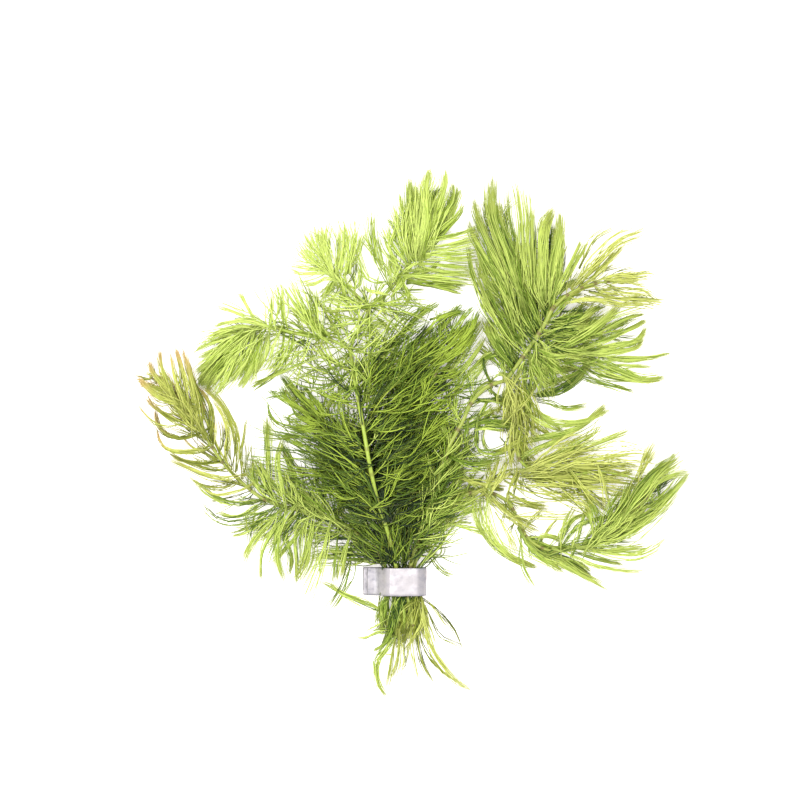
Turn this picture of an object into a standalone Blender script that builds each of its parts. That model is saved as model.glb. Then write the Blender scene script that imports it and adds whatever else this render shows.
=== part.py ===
"""A bunch of hornwort cuttings held by a folded lead strip, lying on a table.

The strip's underside is the origin, the stems fan out along +Y, their cut ends trail along -Y and +Z is up.
Every length is in millimetres and becomes metres where a mesh is made. Each stem is a tapered tube with a
swelling at every whorl, split at its forks. The hair-fine leaves of each stretch of stem are one closed,
flat-bottomed plume that reaches their tips, with a channel where the stem runs through it.
"""

import math

import bmesh
import bpy
from mathutils import Vector

MM = 0.001
UP = Vector((0, 0, 1))

# Clear space between two pieces, and the extra room that a stem's channel leaves round its swellings
GAP = 0.3
CHANNEL_ROOM = 0.7

# Steps between two given points where a route is smoothed, and the angle from which an edge stays sharp
CURVE_STEPS = 12
SHARP_DEGREES = 50

# The lead strip: a flat band folded over the stems, with its two ends pressed together at the left
STRIP_WIDTH = 12.0
STRIP_THICKNESS = 1.0
LOOP_HEIGHT = 9.0
LOOP_RIGHT = 12.6
UNDER_END = -14.6
OVER_END = -12.9
SLOPE_TOP = -4.0
SLOPE_FOOT = -8.6
PRESSED_GAP = 0.4
FOLD_RADIUS = 2.0
FOLD_STEPS = 4
ARC_STEPS = 10
DEPTH_BELOW = 1.0

# Stems: six sides, a swelling at each whorl, and slimmer between the whorls. Their channels have four sides
STEM_SIDES = 6
CHANNEL_SIDES = 4
WHORL_SPACING = 12.0
SWELLING = 1.22
WAIST = 0.95

# Plumes: a ring about every RING_SPACING, wide at the leaf tips of a whorl and narrower between two whorls
RING_SPACING = 9.0
WHORL_DIP = 0.86
PLUME_FLOOR = 0.0

# A plume's section as shares of its half-width and its height, from the left foot over the top to the right
PLUME_SECTION = ((-0.82, 0.0), (-1.0, 0.3), (-0.42, 1.0), (0.42, 1.0), (1.0, 0.3), (0.82, 0.0))

# Stem routes as (x, y, z) along the middle of the tube, with the radius at the start and at the end
STEMS = {
    "stem_left": (
        ((-7, -21, 2.2), (-4.6, -10, 2.3), (-3.6, 0, 2.4), (-6.5, 9, 3.2), (-18, 21, 5.5), (-33, 29, 6.5),
         (-48, 32, 6.5), (-57, 35.5, 6.5), (-62.4, 39, 6.5)),
        1.05, 0.95),
    "stem_left_tip": (
        ((-62.4, 39, 6.5), (-70, 46, 7), (-75.5, 52.5, 7.5), (-83.4, 64, 8), (-91, 74.5, 8),
         (-99.5, 84, 6), (-106, 87.5, 4)),
        0.9, 0.5),
    "stem_inner_left": (
        ((-2, -18, 2.2), (-0.6, -8, 2.3), (-0.4, 0, 2.4), (-2.6, 14, 4.5), (-8.5, 31, 7), (-18, 47, 8),
         (-29, 62, 8), (-40, 73, 6.5), (-48, 82, 4)),
        1.05, 0.6),
    "stem_inner_right": (
        ((3.4, -22, 2.2), (2.9, -8, 2.3), (2.8, 0, 2.4), (3.4, 15, 5), (4, 32, 9), (5, 48, 11),
         (8, 64, 11.5), (13, 80, 11), (19, 95, 9), (25, 108, 6)),
        1.1, 0.6),
    "stem_lower_right": (
        ((10, -20, 2.2), (7.4, -8, 2.3), (6.2, 0, 2.4), (10, 15, 5), (17, 27, 7), (27, 36, 7),
         (36.6, 38.7, 6.5), (46.9, 34.8, 6), (51.5, 27, 5.5), (55, 19.8, 5)),
        1.05, 0.85),
    "stem_lower_right_tip": (
        ((55, 19.8, 5), (60, 15.5, 5), (68, 13, 5.5), (77, 14.5, 6), (88, 20, 6.5), (98, 27, 7),
         (106.6, 35.5, 6.5), (112, 43, 4.5)),
        0.8, 0.5),
    "stem_centre": (
        ((1, -17, 4.9), (0.6, -6, 5.2), (0.6, 0, 5.3), (-1.5, 12, 9), (-5.2, 26, 17), (-8.2, 35, 22),
         (-10.8, 47, 25), (-12.5, 56, 26), (-14.6, 68.4, 24), (-16, 76, 21), (-18, 86.4, 16),
         (-20, 99.3, 10)),
        1.1, 0.95),
    "branch_drooping": (
        ((-20, 99.3, 10), (-28.8, 103.6, 8), (-41.7, 105.8, 7), (-49.5, 107.9, 7), (-55.5, 109.2, 7),
         (-65.4, 107, 7), (-71.8, 101.5, 6.5), (-78.3, 92.9, 5), (-82, 86.5, 3.5)),
        0.85, 0.45),
    "branch_top": (
        ((-20, 99.3, 10), (-17.5, 106, 8.5), (-13.8, 112.2, 8), (-11.6, 117.4, 7.5)),
        0.85, 0.8),
    "branch_top_left": (
        ((-11.6, 117.4, 7.5), (-17, 122.5, 6.5), (-22.4, 127.3, 6), (-28, 134.5, 6), (-33, 142, 4.5)),
        0.65, 0.45),
    "branch_top_middle": (
        ((-11.6, 117.4, 7.5), (-6, 122.1, 7), (-0.9, 127.3, 7), (3.4, 133.7, 7), (7.7, 140, 7),
         (12, 150, 6), (14, 163, 4)),
        0.75, 0.5),
    "stem_right": (
        ((6.6, -19, 4.9), (4.8, -7, 5.2), (4.4, 0, 5.3), (6.5, 10, 7), (9.9, 22, 10), (16, 40, 13),
         (21.9, 57.2, 14), (28, 68.8, 13.5), (31.4, 76.1, 13), (37.8, 83, 12), (46.9, 86.4, 11)),
        1.2, 1.15),
    "stem_right_upper": (
        ((46.9, 86.4, 11), (54.6, 97.6, 13), (61.5, 107.9, 13), (66.7, 117.4, 12)),
        1.15, 1.0),
    "branch_right_tip": (
        ((66.7, 117.4, 12), (74.4, 123.8, 10), (85, 127.7, 7), (94, 128.5, 4.5)),
        0.9, 0.5),
    "branch_right_fan": (
        ((54.6, 97.6, 13), (52, 108, 10), (48, 124, 8), (45, 140, 6.5), (43, 154, 4.5)),
        0.8, 0.5),
    "branch_right_fan_small": (
        ((66.7, 117.4, 12), (67, 127, 9), (66.5, 142, 5)),
        0.65, 0.45),
    "branch_right_side": (
        ((61.5, 107.9, 13), (72, 106, 9), (84, 106, 7), (97, 108, 4.5)),
        0.7, 0.45),
    "branch_hanging": (
        ((46.9, 86.4, 11), (48.5, 78, 8.5), (49.5, 69.2, 7.5), (51, 60, 7), (52.5, 52, 6.5)),
        0.85, 0.8),
    "branch_hanging_band": (
        ((52.5, 52, 6.5), (58, 47.5, 6), (70, 45, 6), (84, 47, 6), (95, 46, 5), (103, 43.5, 3.5)),
        0.75, 0.45),
}

# Plumes as stations (x, y, reach to the left, reach to the right, height) seen along the way the stem grows
PLUMES = {
    "leaves_centre_low": ("leaf_dark", (
        (-1, 11, 6, 4, 14), (-5, 26, 10, 9, 22), (-9, 40, 12, 12, 27), (-12, 55, 13, 13, 28))),
    "leaves_centre_high": ("leaf_mid", (
        (-12.4, 57, 12, 13, 27), (-15, 70, 14, 14, 25), (-17, 82, 14, 14, 21), (-19, 95, 13, 14, 15))),
    "leaves_inner_left": ("leaf_dark", (
        (-8, 22, 5, 4, 12), (-13, 34, 12, 8, 15), (-20, 48, 18, 12, 16), (-28, 59, 18, 14, 15),
        (-34, 66, 15, 13, 13))),
    "leaves_inner_left_tip": ("leaf_mid", (
        (-35, 67.5, 14, 13, 12), (-43, 76, 13, 12, 11), (-49, 83, 8, 8, 8), (-55, 89, 1.5, 1.5, 3))),
    "leaves_inner_right_low": ("leaf_dark", (
        (4, 12, 4, 5, 14), (4, 26, 8, 8, 18), (4.5, 40, 12, 10, 20), (7, 56, 13, 13, 21))),
    "leaves_inner_right_high": ("leaf_dark", (
        (7.5, 58, 13, 14, 21), (11, 72, 14, 15, 21), (16, 86, 16, 14, 19))),
    "leaves_inner_right_tip": ("leaf_dark", (
        (17, 88, 17, 13, 18), (22, 98, 15, 11, 15), (27, 108, 11, 8, 11), (31, 119, 2, 2, 4))),
    "leaves_left_root": ("leaf_mid", (
        (-9, 15, 5, 4, 9), (-16, 20, 9, 7, 11), (-23, 25, 14, 8, 12), (-31, 28, 18, 9, 11))),
    "leaves_left_lower": ("leaf_mid", (
        (-33, 29, 18, 9, 11), (-41, 31, 29, 10, 12), (-50, 32, 31, 10, 12), (-58, 33, 28, 8, 10),
        (-68, 33, 16, 6, 8), (-78, 33, 8, 3, 5), (-85, 35, 1.5, 1.5, 2))),
    "leaves_left_bend": ("leaf_olive", (
        (-57, 37, 4, 8, 8), (-63, 41, 12, 19, 10), (-69, 46.5, 20, 20, 12), (-74, 52, 24, 17, 11))),
    "leaves_left_tip": ("leaf_olive", (
        (-76, 55, 24, 14, 11), (-84, 66, 18, 12, 13), (-92, 77, 15, 13, 13), (-99, 85, 12, 11, 11),
        (-106, 91, 8, 7, 7), (-111.5, 96, 1.5, 1.5, 3))),
    "leaves_drooping": ("leaf_bright", (
        (-31, 104.5, 14, 15, 10), (-38, 106, 17, 17, 11), (-47, 108, 19, 17, 11), (-56, 109, 18, 14, 10))),
    "leaves_drooping_tip": ("leaf_bright", (
        (-57.5, 109.2, 17, 12, 10), (-66, 106.5, 14, 10, 10), (-73, 100, 11, 10, 9), (-79, 92, 7, 7, 7),
        (-87, 80, 1.5, 1.5, 2.5))),
    "leaves_fork": ("leaf_bright", (
        (-20, 97.5, 11, 16, 13), (-17, 105, 13, 20, 12), (-13, 113, 14, 20, 11), (-11, 119, 12, 14, 10))),
    "leaves_top_left": ("leaf_bright", (
        (-15, 121, 4, 4, 7), (-23, 128, 11, 10, 9), (-30, 137, 14, 13, 10), (-37, 146, 8, 11, 7),
        (-43, 155, 1.5, 1.5, 2))),
    "leaves_top_middle": ("leaf_bright", (
        (-8.5, 121, 8, 9, 9), (-2, 127, 11, 14, 10), (4, 135, 15, 20, 11), (7.5, 140.5, 14, 18, 11))),
    "leaves_top_middle_tip": ("leaf_bright", (
        (8.2, 142, 13, 18, 11), (11, 150, 14, 16, 11), (14, 161, 12, 12, 9), (15, 170, 8, 8, 6),
        (14.5, 178, 1.5, 1.5, 2))),
    "leaves_right_low": ("leaf_mid", (
        (10.5, 21, 3, 5, 13), (15, 37, 5, 9, 16), (20, 51, 7, 11, 17), (26, 65, 8, 10, 16))),
    "leaves_right_curtain": ("leaf_mid", (
        (27, 68, 8, 8, 15), (31, 78, 10, 6, 13), (35, 90, 10, 5, 11), (38, 102, 7, 4, 8),
        (39, 117, 1.5, 1.5, 3))),
    "leaves_right_fork": ("leaf_mid", (
        (39, 84, 6, 7, 12), (46.5, 88, 8, 9, 13), (54, 97, 12, 12, 15), (58.5, 103.5, 13, 13, 15))),
    "leaves_right_middle": ("leaf_mid", (
        (59.5, 105, 12, 12, 15), (64, 113, 10, 12, 15), (67.5, 119, 8, 10, 14))),
    "leaves_right_fan": ("leaf_mid", (
        (53, 103, 11, 8, 12), (50, 114, 13, 12, 13), (47, 130, 15, 14, 12), (45, 146, 13, 12, 10),
        (43, 161, 10, 10, 7), (41, 176, 1.5, 1.5, 2.5))),
    "leaves_right_fan_small": ("leaf_mid", (
        (67, 121.5, 6, 8, 11), (66.5, 132, 8, 9, 10), (67, 146, 6, 6, 7), (67, 161, 1.5, 1.5, 2.5))),
    "leaves_right_tip": ("leaf_bright", (
        (73, 123.5, 9, 11, 11), (83, 128, 14, 9, 9), (93, 131, 14, 10, 7), (105, 128, 9, 7, 5),
        (118, 120, 1.5, 1.5, 2))),
    "leaves_right_side": ("leaf_mid", (
        (67, 105.5, 9, 12, 12), (77, 104, 12, 15, 11), (88, 103.5, 12, 15, 10), (99, 104, 10, 14, 8),
        (108, 106, 5, 11, 5), (117, 104, 1.5, 1.5, 2))),
    "leaves_hanging": ("leaf_bright", (
        (48.4, 81, 6, 8, 9), (49.4, 71, 9, 9, 10), (51, 61, 10, 9, 10), (53, 53, 10, 9, 9))),
    "leaves_hanging_reach": ("leaf_mid", (
        (61, 58.5, 3.5, 4.5, 6), (70, 63.5, 5.5, 5, 6), (80, 69, 4, 4, 5), (91, 75, 1.2, 1.2, 2))),
    "leaves_hanging_band": ("leaf_bright", (
        (54, 49.5, 7, 6, 8), (62, 47, 9, 8, 9), (75, 47.5, 12, 8, 9), (88, 48.5, 12, 9, 9),
        (98, 46, 8, 8, 7), (107, 43, 2.5, 2.5, 4))),
    "leaves_lower_right_root": ("leaf_mid", (
        (10.5, 17, 2.5, 4, 10), (17, 26, 4, 8, 11), (26, 34.5, 8, 10, 11), (36, 37.7, 9, 10, 10))),
    "leaves_lower_right_bend": ("leaf_bright", (
        (37.5, 38, 8, 9, 9), (45, 35, 9, 12, 9), (50.5, 28, 8, 13, 8), (53.5, 22.5, 6, 11, 7))),
    "leaves_lower_right_arc": ("leaf_mid", (
        (34.5, 26, 2.2, 2.2, 4), (38, 17.5, 2.6, 2.6, 4), (45, 11, 2.4, 2.4, 4), (53, 7.5, 2, 2, 3),
        (61, 5.5, 1, 1, 2))),
    "leaves_lower_right_turn": ("leaf_mid", (
        (56, 18.5, 5, 6, 7), (63, 14, 6, 10, 8), (70, 12.5, 8, 13, 9), (78, 14.5, 8, 14, 9))),
    "leaves_lower_right_tip": ("leaf_mid", (
        (79.5, 15, 8, 13, 9), (90, 21, 10, 14, 11), (100, 28, 12, 13, 11), (109, 37.5, 9, 10, 9),
        (118, 47, 6, 6, 6), (127, 54, 1.5, 1.5, 3))),
    "leaves_tail_left": ("leaf_dark", (
        (-1.6, -7.5, 5.5, 4, 7), (-3, -18, 4, 7.5, 8), (-4, -29, 5, 9, 7), (-3, -40, 4.5, 5, 4),
        (-1, -50, 1.2, 1.2, 2))),
    "leaves_tail_right": ("leaf_bright", (
        (6.5, -7.5, 3.5, 4, 7), (8, -18, 5.5, 5, 8), (12, -29, 6, 6, 6), (20, -38, 4, 4, 4),
        (30, -46.5, 1.2, 1.2, 2))),
}

# Colour (red, green, blue), roughness and metallic value of each finish
FINISHES = {
    "lead": ((0.56, 0.55, 0.58), 0.42, 0.85),
    "stem": ((0.33, 0.45, 0.10), 0.40, 0.0),
    "leaf_bright": ((0.40, 0.56, 0.08), 0.45, 0.0),
    "leaf_mid": ((0.25, 0.40, 0.06), 0.45, 0.0),
    "leaf_dark": ((0.12, 0.22, 0.03), 0.45, 0.0),
    "leaf_olive": ((0.42, 0.42, 0.12), 0.48, 0.0),
}


def clear_scene():
    for obj in list(bpy.data.objects):
        bpy.data.objects.remove(obj, do_unlink=True)


def make_finish(name):
    colour, roughness, metallic = FINISHES[name]
    material = bpy.data.materials.new(name)
    material.use_nodes = True
    shader = material.node_tree.nodes["Principled BSDF"]
    shader.inputs["Base Color"].default_value = (*colour, 1.0)
    shader.inputs["Roughness"].default_value = roughness
    shader.inputs["Metallic"].default_value = metallic
    return material


def between(a, b, c, d, t):
    """The value at share t of the way from b to c, on a smooth curve through all four."""
    bend = 2 * a - 5 * b + 4 * c - d
    twist = 3 * b - a - 3 * c + d
    return 0.5 * (2 * b + (c - a) * t + bend * t ** 2 + twist * t ** 3)


def smooth_samples(points, spacing, odd=False):
    """Values read at even steps from a smooth curve through the points, an odd number of them if asked."""
    fine = []
    before = [2 * a - b for a, b in zip(points[0], points[1])]
    after = [2 * a - b for a, b in zip(points[-1], points[-2])]
    padded = [before, *points, after]
    for four in zip(padded, padded[1:], padded[2:], padded[3:]):
        for step in range(CURVE_STEPS):
            fine.append([between(*values, step / CURVE_STEPS) for values in zip(*four)])
    fine.append(list(points[-1]))
    travelled = [0.0]
    for a, b in zip(fine, fine[1:]):
        travelled.append(travelled[-1] + math.dist(a[:2], b[:2]))
    count = max(2, round(travelled[-1] / spacing) + 1)
    if odd and count % 2 == 0:
        count += 1
    samples = []
    at = 0
    for i in range(count):
        goal = travelled[-1] * i / (count - 1)
        while at < len(fine) - 2 and travelled[at + 1] < goal:
            at += 1
        share = (goal - travelled[at]) / max(travelled[at + 1] - travelled[at], 1e-9)
        samples.append([a + (b - a) * min(share, 1.0) for a, b in zip(fine[at], fine[at + 1])])
    return samples


def directions(centres):
    """The unit way of travel at each centre."""
    ways = []
    for i in range(len(centres)):
        way = centres[min(i + 1, len(centres) - 1)] - centres[max(i - 1, 0)]
        ways.append(way.normalized())
    return ways


def loft(name, rings):
    """One closed body through rings of equally many points, with a flat face at each end."""
    shape = bmesh.new()
    loops = [[shape.verts.new(point * MM) for point in ring] for ring in rings]
    for near, far in zip(loops, loops[1:]):
        for i in range(len(near)):
            j = (i + 1) % len(near)
            shape.faces.new((near[i], near[j], far[j]))
            shape.faces.new((near[i], far[j], far[i]))
    shape.faces.new(list(reversed(loops[0])))
    shape.faces.new(loops[-1])
    bmesh.ops.recalc_face_normals(shape, faces=shape.faces)
    mesh = bpy.data.meshes.new(name)
    shape.to_mesh(mesh)
    shape.free()
    obj = bpy.data.objects.new(name, mesh)
    bpy.context.scene.collection.objects.link(obj)
    return obj


def tube(name, centres, radii, sides):
    """A tube through the centres. Its rings keep one corner towards the ground."""
    rings = []
    for centre, way, radius in zip(centres, directions(centres), radii):
        side = way.cross(UP).normalized()
        lift = side.cross(way)
        turns = [2 * math.pi * k / sides for k in range(sides)]
        rings.append([centre + radius * (side * math.sin(turn) - lift * math.cos(turn)) for turn in turns])
    return loft(name, rings)


def stem_line(name):
    """Centres at every whorl and halfway between two, and the plain radius at each."""
    route, first, last = STEMS[name]
    rows = smooth_samples(route, WHORL_SPACING / 2, odd=True)
    centres = [Vector(row) for row in rows]
    radii = [first + (last - first) * i / (len(rows) - 1) for i in range(len(rows))]
    return centres, radii


def make_stem(name):
    centres, radii = stem_line(name)
    shaped = [radius * (WAIST if i % 2 else SWELLING) for i, radius in enumerate(radii)]
    return tube(name, centres, shaped, STEM_SIDES)


def make_channel(name):
    """The room that a stem takes from its neighbours: one ring at each whorl, past both of its ends."""
    centres, radii = stem_line(name)
    centres, radii = centres[::2], radii[::2]
    ways = directions(centres)
    centres[0] = centres[0] - ways[0] * CHANNEL_ROOM
    centres[-1] = centres[-1] + ways[-1] * CHANNEL_ROOM
    corner = 1 / math.cos(math.pi / CHANNEL_SIDES)
    rooms = [(radius * SWELLING + CHANNEL_ROOM) * corner for radius in radii]
    return tube("room_for_" + name, centres, rooms, CHANNEL_SIDES)


def plume_rings(stations, room):
    """Rings of a plume's body. With room above 0 they bound the space that its neighbours leave free."""
    rows = smooth_samples(stations, RING_SPACING)
    centres = [Vector((x, y, 0)) for x, y, *_ in rows]
    ways = directions(centres)
    rings = []
    for i, (row, centre, way) in enumerate(zip(rows, centres, ways)):
        _, _, left, right, height = row
        if i == 0:
            centre = centre - way * room
        if i == len(rows) - 1:
            centre = centre + way * room
        dip = WHORL_DIP if i % 2 else 1.0
        side = way.cross(UP)
        ring = []
        for across, rise in PLUME_SECTION:
            reach = (right if across > 0 else left) * dip + room
            foot = PLUME_FLOOR - room if rise == 0 else rise * (height + room)
            ring.append(centre + side * across * reach + UP * foot)
        rings.append(ring)
    return rings


def strip_outline():
    """The band's outline in the XZ plane: out on one side of its middle line and back on the other."""
    half = STRIP_THICKNESS / 2
    bend = (LOOP_HEIGHT - STRIP_THICKNESS) / 2
    bend_x = LOOP_RIGHT - LOOP_HEIGHT / 2
    pressed = STRIP_THICKNESS + PRESSED_GAP + half
    top = LOOP_HEIGHT - half
    middle = [(UNDER_END, half)]
    for step in range(ARC_STEPS + 1):
        turn = math.pi * step / ARC_STEPS - math.pi / 2
        middle.append((bend_x + bend * math.cos(turn), half + bend + bend * math.sin(turn)))
    corners = ((bend_x, top), (SLOPE_TOP, top), (SLOPE_FOOT, pressed), (OVER_END, pressed))
    for before, corner, after in zip(corners, corners[1:], corners[2:]):
        here = Vector(corner)
        into = (Vector(before) - here).normalized() * FOLD_RADIUS
        away = (Vector(after) - here).normalized() * FOLD_RADIUS
        for step in range(FOLD_STEPS + 1):
            share = step / FOLD_STEPS
            middle.append(tuple(here + into * (1 - share) ** 2 + away * share ** 2))
    middle.append(corners[-1])
    line = [Vector((x, 0, z)) for x, z in middle]
    offsets = [way.cross(Vector((0, 1, 0))) * half for way in directions(line)]
    out = [point + offset for point, offset in zip(line, offsets)]
    back = [point - offset for point, offset in zip(line, offsets)]
    return out + back[::-1]


def make_strip():
    outline = strip_outline()
    ends = [Vector((0, y, 0)) for y in (-STRIP_WIDTH / 2, STRIP_WIDTH / 2)]
    return loft("lead_strip", [[point + end for point in outline] for end in ends])


def strip_room():
    """The space round the strip that the plumes keep out of, down to a little below the table."""
    reach = STRIP_WIDTH / 2 + GAP
    left, right = UNDER_END - GAP, LOOP_RIGHT + GAP
    top = LOOP_HEIGHT + GAP
    rings = []
    for y in (-reach, reach):
        corners = ((left, -DEPTH_BELOW), (right, -DEPTH_BELOW), (right, top), (left, top))
        rings.append([Vector((x, y, z)) for x, z in corners])
    return loft("room_for_lead_strip", rings)


def boxes_meet(first, second):
    """Whether the boxes of two objects meet."""
    for axis in range(3):
        a = [vertex.co[axis] for vertex in first.data.vertices]
        b = [vertex.co[axis] for vertex in second.data.vertices]
        if min(a) > max(b) or min(b) > max(a):
            return False
    return True


def largest_body(shape):
    """Deletes all but the largest of the separate bodies that a cut may leave."""
    unseen = set(shape.verts)
    bodies = []
    while unseen:
        body = set()
        edge = [unseen.pop()]
        while edge:
            vertex = edge.pop()
            body.add(vertex)
            for link in vertex.link_edges:
                other = link.other_vert(vertex)
                if other in unseen:
                    unseen.remove(other)
                    edge.append(other)
        bodies.append(body)

    def spread(body):
        return sum(max(v.co[axis] for v in body) - min(v.co[axis] for v in body) for axis in range(3))

    kept = max(bodies, key=spread)
    bmesh.ops.delete(shape, geom=[vertex for vertex in shape.verts if vertex not in kept])


def cut_back(obj, rooms):
    """Takes the neighbours' rooms out of a piece and keeps its main body."""
    for room in rooms:
        if not boxes_meet(obj, room):
            continue
        modifier = obj.modifiers.new("cut", "BOOLEAN")
        modifier.operation = "DIFFERENCE"
        modifier.solver = "EXACT"
        modifier.object = room
        bpy.context.view_layer.update()
        cut = bpy.data.meshes.new_from_object(obj.evaluated_get(bpy.context.evaluated_depsgraph_get()))
        obj.modifiers.clear()
        shape = bmesh.new()
        shape.from_mesh(cut)
        if shape.faces:
            largest_body(shape)
        shape.to_mesh(obj.data)
        shape.free()
        bpy.data.meshes.remove(cut)


def finish_piece(obj, material, root):
    obj.data.materials.clear()
    obj.data.materials.append(material)
    obj.data.shade_smooth()
    obj.data.set_sharp_from_angle(angle=math.radians(SHARP_DEGREES))
    obj.parent = root


def main():
    clear_scene()
    finishes = {name: make_finish(name) for name in FINISHES}
    root = bpy.data.objects.new("bunch", None)
    bpy.context.scene.collection.objects.link(root)

    finish_piece(make_strip(), finishes["lead"], root)

    channels = []
    for name in STEMS:
        stem = make_stem(name)
        cut_back(stem, channels)
        finish_piece(stem, finishes["stem"], root)
        channels.append(make_channel(name))

    rooms = [strip_room(), *channels]
    for name, (finish, stations) in PLUMES.items():
        plume = loft(name, plume_rings(stations, 0.0))
        cut_back(plume, rooms)
        finish_piece(plume, finishes[finish], root)
        rooms.append(loft("room_for_" + name, plume_rings(stations, GAP)))

    for room in rooms:
        bpy.data.objects.remove(room, do_unlink=True)


main()
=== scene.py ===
"""Looks of a tied bunch of hornwort lying on a pale table, seen from straight above.

The bunch is six cuttings held by a folded lead strip. Each stretch of stem carries whorls of hair-fine
leaves that fork into segments. Out of the water the wet segments cling together, so they run side by side
into pointed tufts. The leaves of each stretch are one mesh of slim closed strands, in place of its plain
plume.

Lengths are millimetres in the bunch's own frame, with the strip's underside at the origin, +Y towards the
leafy tips and +Z up. They become metres where a mesh is made.
"""

import math
from dataclasses import dataclass

import bpy
import numpy as np
from bpy.props import FloatProperty, FloatVectorProperty, IntProperty, PointerProperty
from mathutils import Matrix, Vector, noise


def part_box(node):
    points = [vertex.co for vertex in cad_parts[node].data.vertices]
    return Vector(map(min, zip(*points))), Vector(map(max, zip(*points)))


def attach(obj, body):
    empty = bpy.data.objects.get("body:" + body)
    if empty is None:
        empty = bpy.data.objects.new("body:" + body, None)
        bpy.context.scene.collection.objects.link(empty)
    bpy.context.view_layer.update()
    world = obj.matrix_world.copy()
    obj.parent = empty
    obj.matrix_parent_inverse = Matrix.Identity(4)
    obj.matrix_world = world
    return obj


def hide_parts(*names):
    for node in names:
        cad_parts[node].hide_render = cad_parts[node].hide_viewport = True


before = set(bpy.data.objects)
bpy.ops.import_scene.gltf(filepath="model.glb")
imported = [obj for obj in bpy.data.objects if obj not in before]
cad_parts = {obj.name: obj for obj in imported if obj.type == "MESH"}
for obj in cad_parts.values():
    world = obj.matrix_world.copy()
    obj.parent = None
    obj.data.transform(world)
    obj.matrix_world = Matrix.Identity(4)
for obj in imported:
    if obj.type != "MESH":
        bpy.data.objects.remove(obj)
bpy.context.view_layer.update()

bl_info = {
    "name": "Hornwort bunch",
    "version": (1, 0, 0),
    "blender": (4, 5, 0),
    "location": "3D View > Sidebar > Hornwort",
    "description": "Builds a tied bunch of hornwort with its lead strip and a plain studio stage",
    "category": "Add Mesh",
}

MM = 0.001
UP = np.array((0.0, 0.0, 1.0))

# Steps between two points of a route and shares at which a leaf is worked out
ROUTE_STEPS = 12
SHARES = np.linspace(0.0, 1.0, 33)

# Rings of the mesh of a strand that starts low on its leaf and of one that starts at a late fork
LONG_RINGS = 8
SHORT_RINGS = 5
STRAND_CORNERS = 3

# Where a strand's corners lie beside its tone in the texture layout, and the layout's empty border
CORNER_LANES = (-0.004, 0.0, 0.004)
MAP_BORDER = 0.01

# Leaves for each of a sheet's and of a tuft's number, in airy and in clumped plumes, and the leaves of a
# sheet that spring from one whorl
SHEET_LEAVES = (0.9, 4.0)
TUFT_LEAVES = (0.5, 1.2)
WHORL_LEAVES = 6

# Shares of its length between which a leaf forks: early, late, and late on the segment of its early fork
FORK_SHARES = ((0.1, 0.25), (0.35, 0.5), (0.4, 0.55))

# Ranges in airy and in clumped plumes: the angles of forks in degrees, where on its leaf a segment ends, and
# how closely a leaf follows its line where it has one to itself, where it is one of a tuft and where it
# belongs to none
FORK_ANGLES = ((12, 32), (5, 14))
SEGMENT_ENDS = ((0.84, 1.04), (0.92, 1.04))
LONE_STRENGTHS = ((0.0, 0.3), (0.5, 0.95))
TUFT_STRENGTHS = ((0.2, 0.7), (0.85, 0.97))
FREE_STRENGTHS = ((0.0, 0.3), (0.0, 0.9))

# How much this differs between segments and how close it can be, and the share of a leaf at which it begins
# and over which it grows
STRENGTH_RANGE = (0.9, 1.03)
MOST_STRENGTH = 0.98
CLING_START = 0.05
CLING_GROWTH = 0.65

# How near another leaf's tip has to be for a leaf to join its tuft, in mm, and how many of them do
JOINING_REACH = 6
JOINING_SHARE = 0.5

# Widths of segments as shares of the common width, in airy plumes and from one segment to the next
AIRY_WIDTH = 1.45
WIDTH_RANGE = (0.7, 1.2)

# How unevenly the leaves of a sheet lie, in mm: each leaf's and each whorl's bow aside and drift of the
# tip, and each leaf's place
LEAF_BOW = 2.8
WHORL_BOW = 2.0
LEAF_DRIFT = 5.5
WHORL_DRIFT = 2.5
LEAF_PLACE = 1.0

# Shares of its guides' length at which a leaf of a sheet starts and ends
SHEET_STARTS = (0, 0.2)
SHEET_ENDS = (0.75, 1.0)

# Spread of a tuft in mm, which grows with the root of the number of its leaves, and the number of a strand's
# waves and their height in mm
TUFT_SPREAD = 0.36
WAVES = (0.6, 1.6)
WAVE_HEIGHT = 0.25

# Looks of the leaves, as whose they are and the linear red, green and blue of their parts in turn
LEAF_PARTS = {"deep": "Deepest green", "body": "Common green", "glow": "Lightest green", "tip": "Tips"}
LEAF_COLOURS = {
    "bright": ("young", (0.07, 0.12, 0.004), (0.29, 0.405, 0.03), (0.57, 0.68, 0.17), (0.50, 0.58, 0.14)),
    "mid": ("grown", (0.022, 0.058, 0.002), (0.158, 0.255, 0.011), (0.52, 0.62, 0.135), (0.4, 0.45, 0.085)),
    "dark": ("old", (0.007, 0.022, 0.001), (0.078, 0.140, 0.005), (0.34, 0.45, 0.045), (0.18, 0.29, 0.022)),
    "olive": ("sunny", (0.065, 0.085, 0.004), (0.245, 0.29, 0.022), (0.52, 0.55, 0.13), (0.58, 0.34, 0.16)),
    "straw": ("shaded", (0.055, 0.08, 0.004), (0.24, 0.29, 0.022), (0.55, 0.59, 0.15), (0.46, 0.48, 0.11)),
}

# How much the leaves of a whorl differ: where they spring in mm, in length, round the stem in radians, in
# the angles at which they leave it and end in degrees, and aside at their tips in mm
PLACE_SPREAD = 0.4
LENGTH_RANGE = (0.72, 1.06)
TURN_SPREAD = 0.22
OPENING_SPREAD = 9
CLOSING_SPREAD = 10
TIP_SPREAD = 2.2

# Of a drawn leaf that passes over its stem, in mm: how far behind the stem it starts and how high above it.
# The others start a little below to a little above the stem.
START_BEHIND = (2.0, 6.0)
START_ABOVE = (1.0, 4.0)
START_BESIDE = (-1.5, 1.0)
STEM_REACH = 20

# Heights of a drawn leaf's tip and of its arch over the line from start to tip, as shares of its plume's
TIP_HEIGHTS = (0.05, 0.35)
ARCH_HEIGHTS = (0.0, 0.2)

# Heights at which strands lie on the table, in mm
RESTING_HEIGHTS = (0.3, 1.6)

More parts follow.
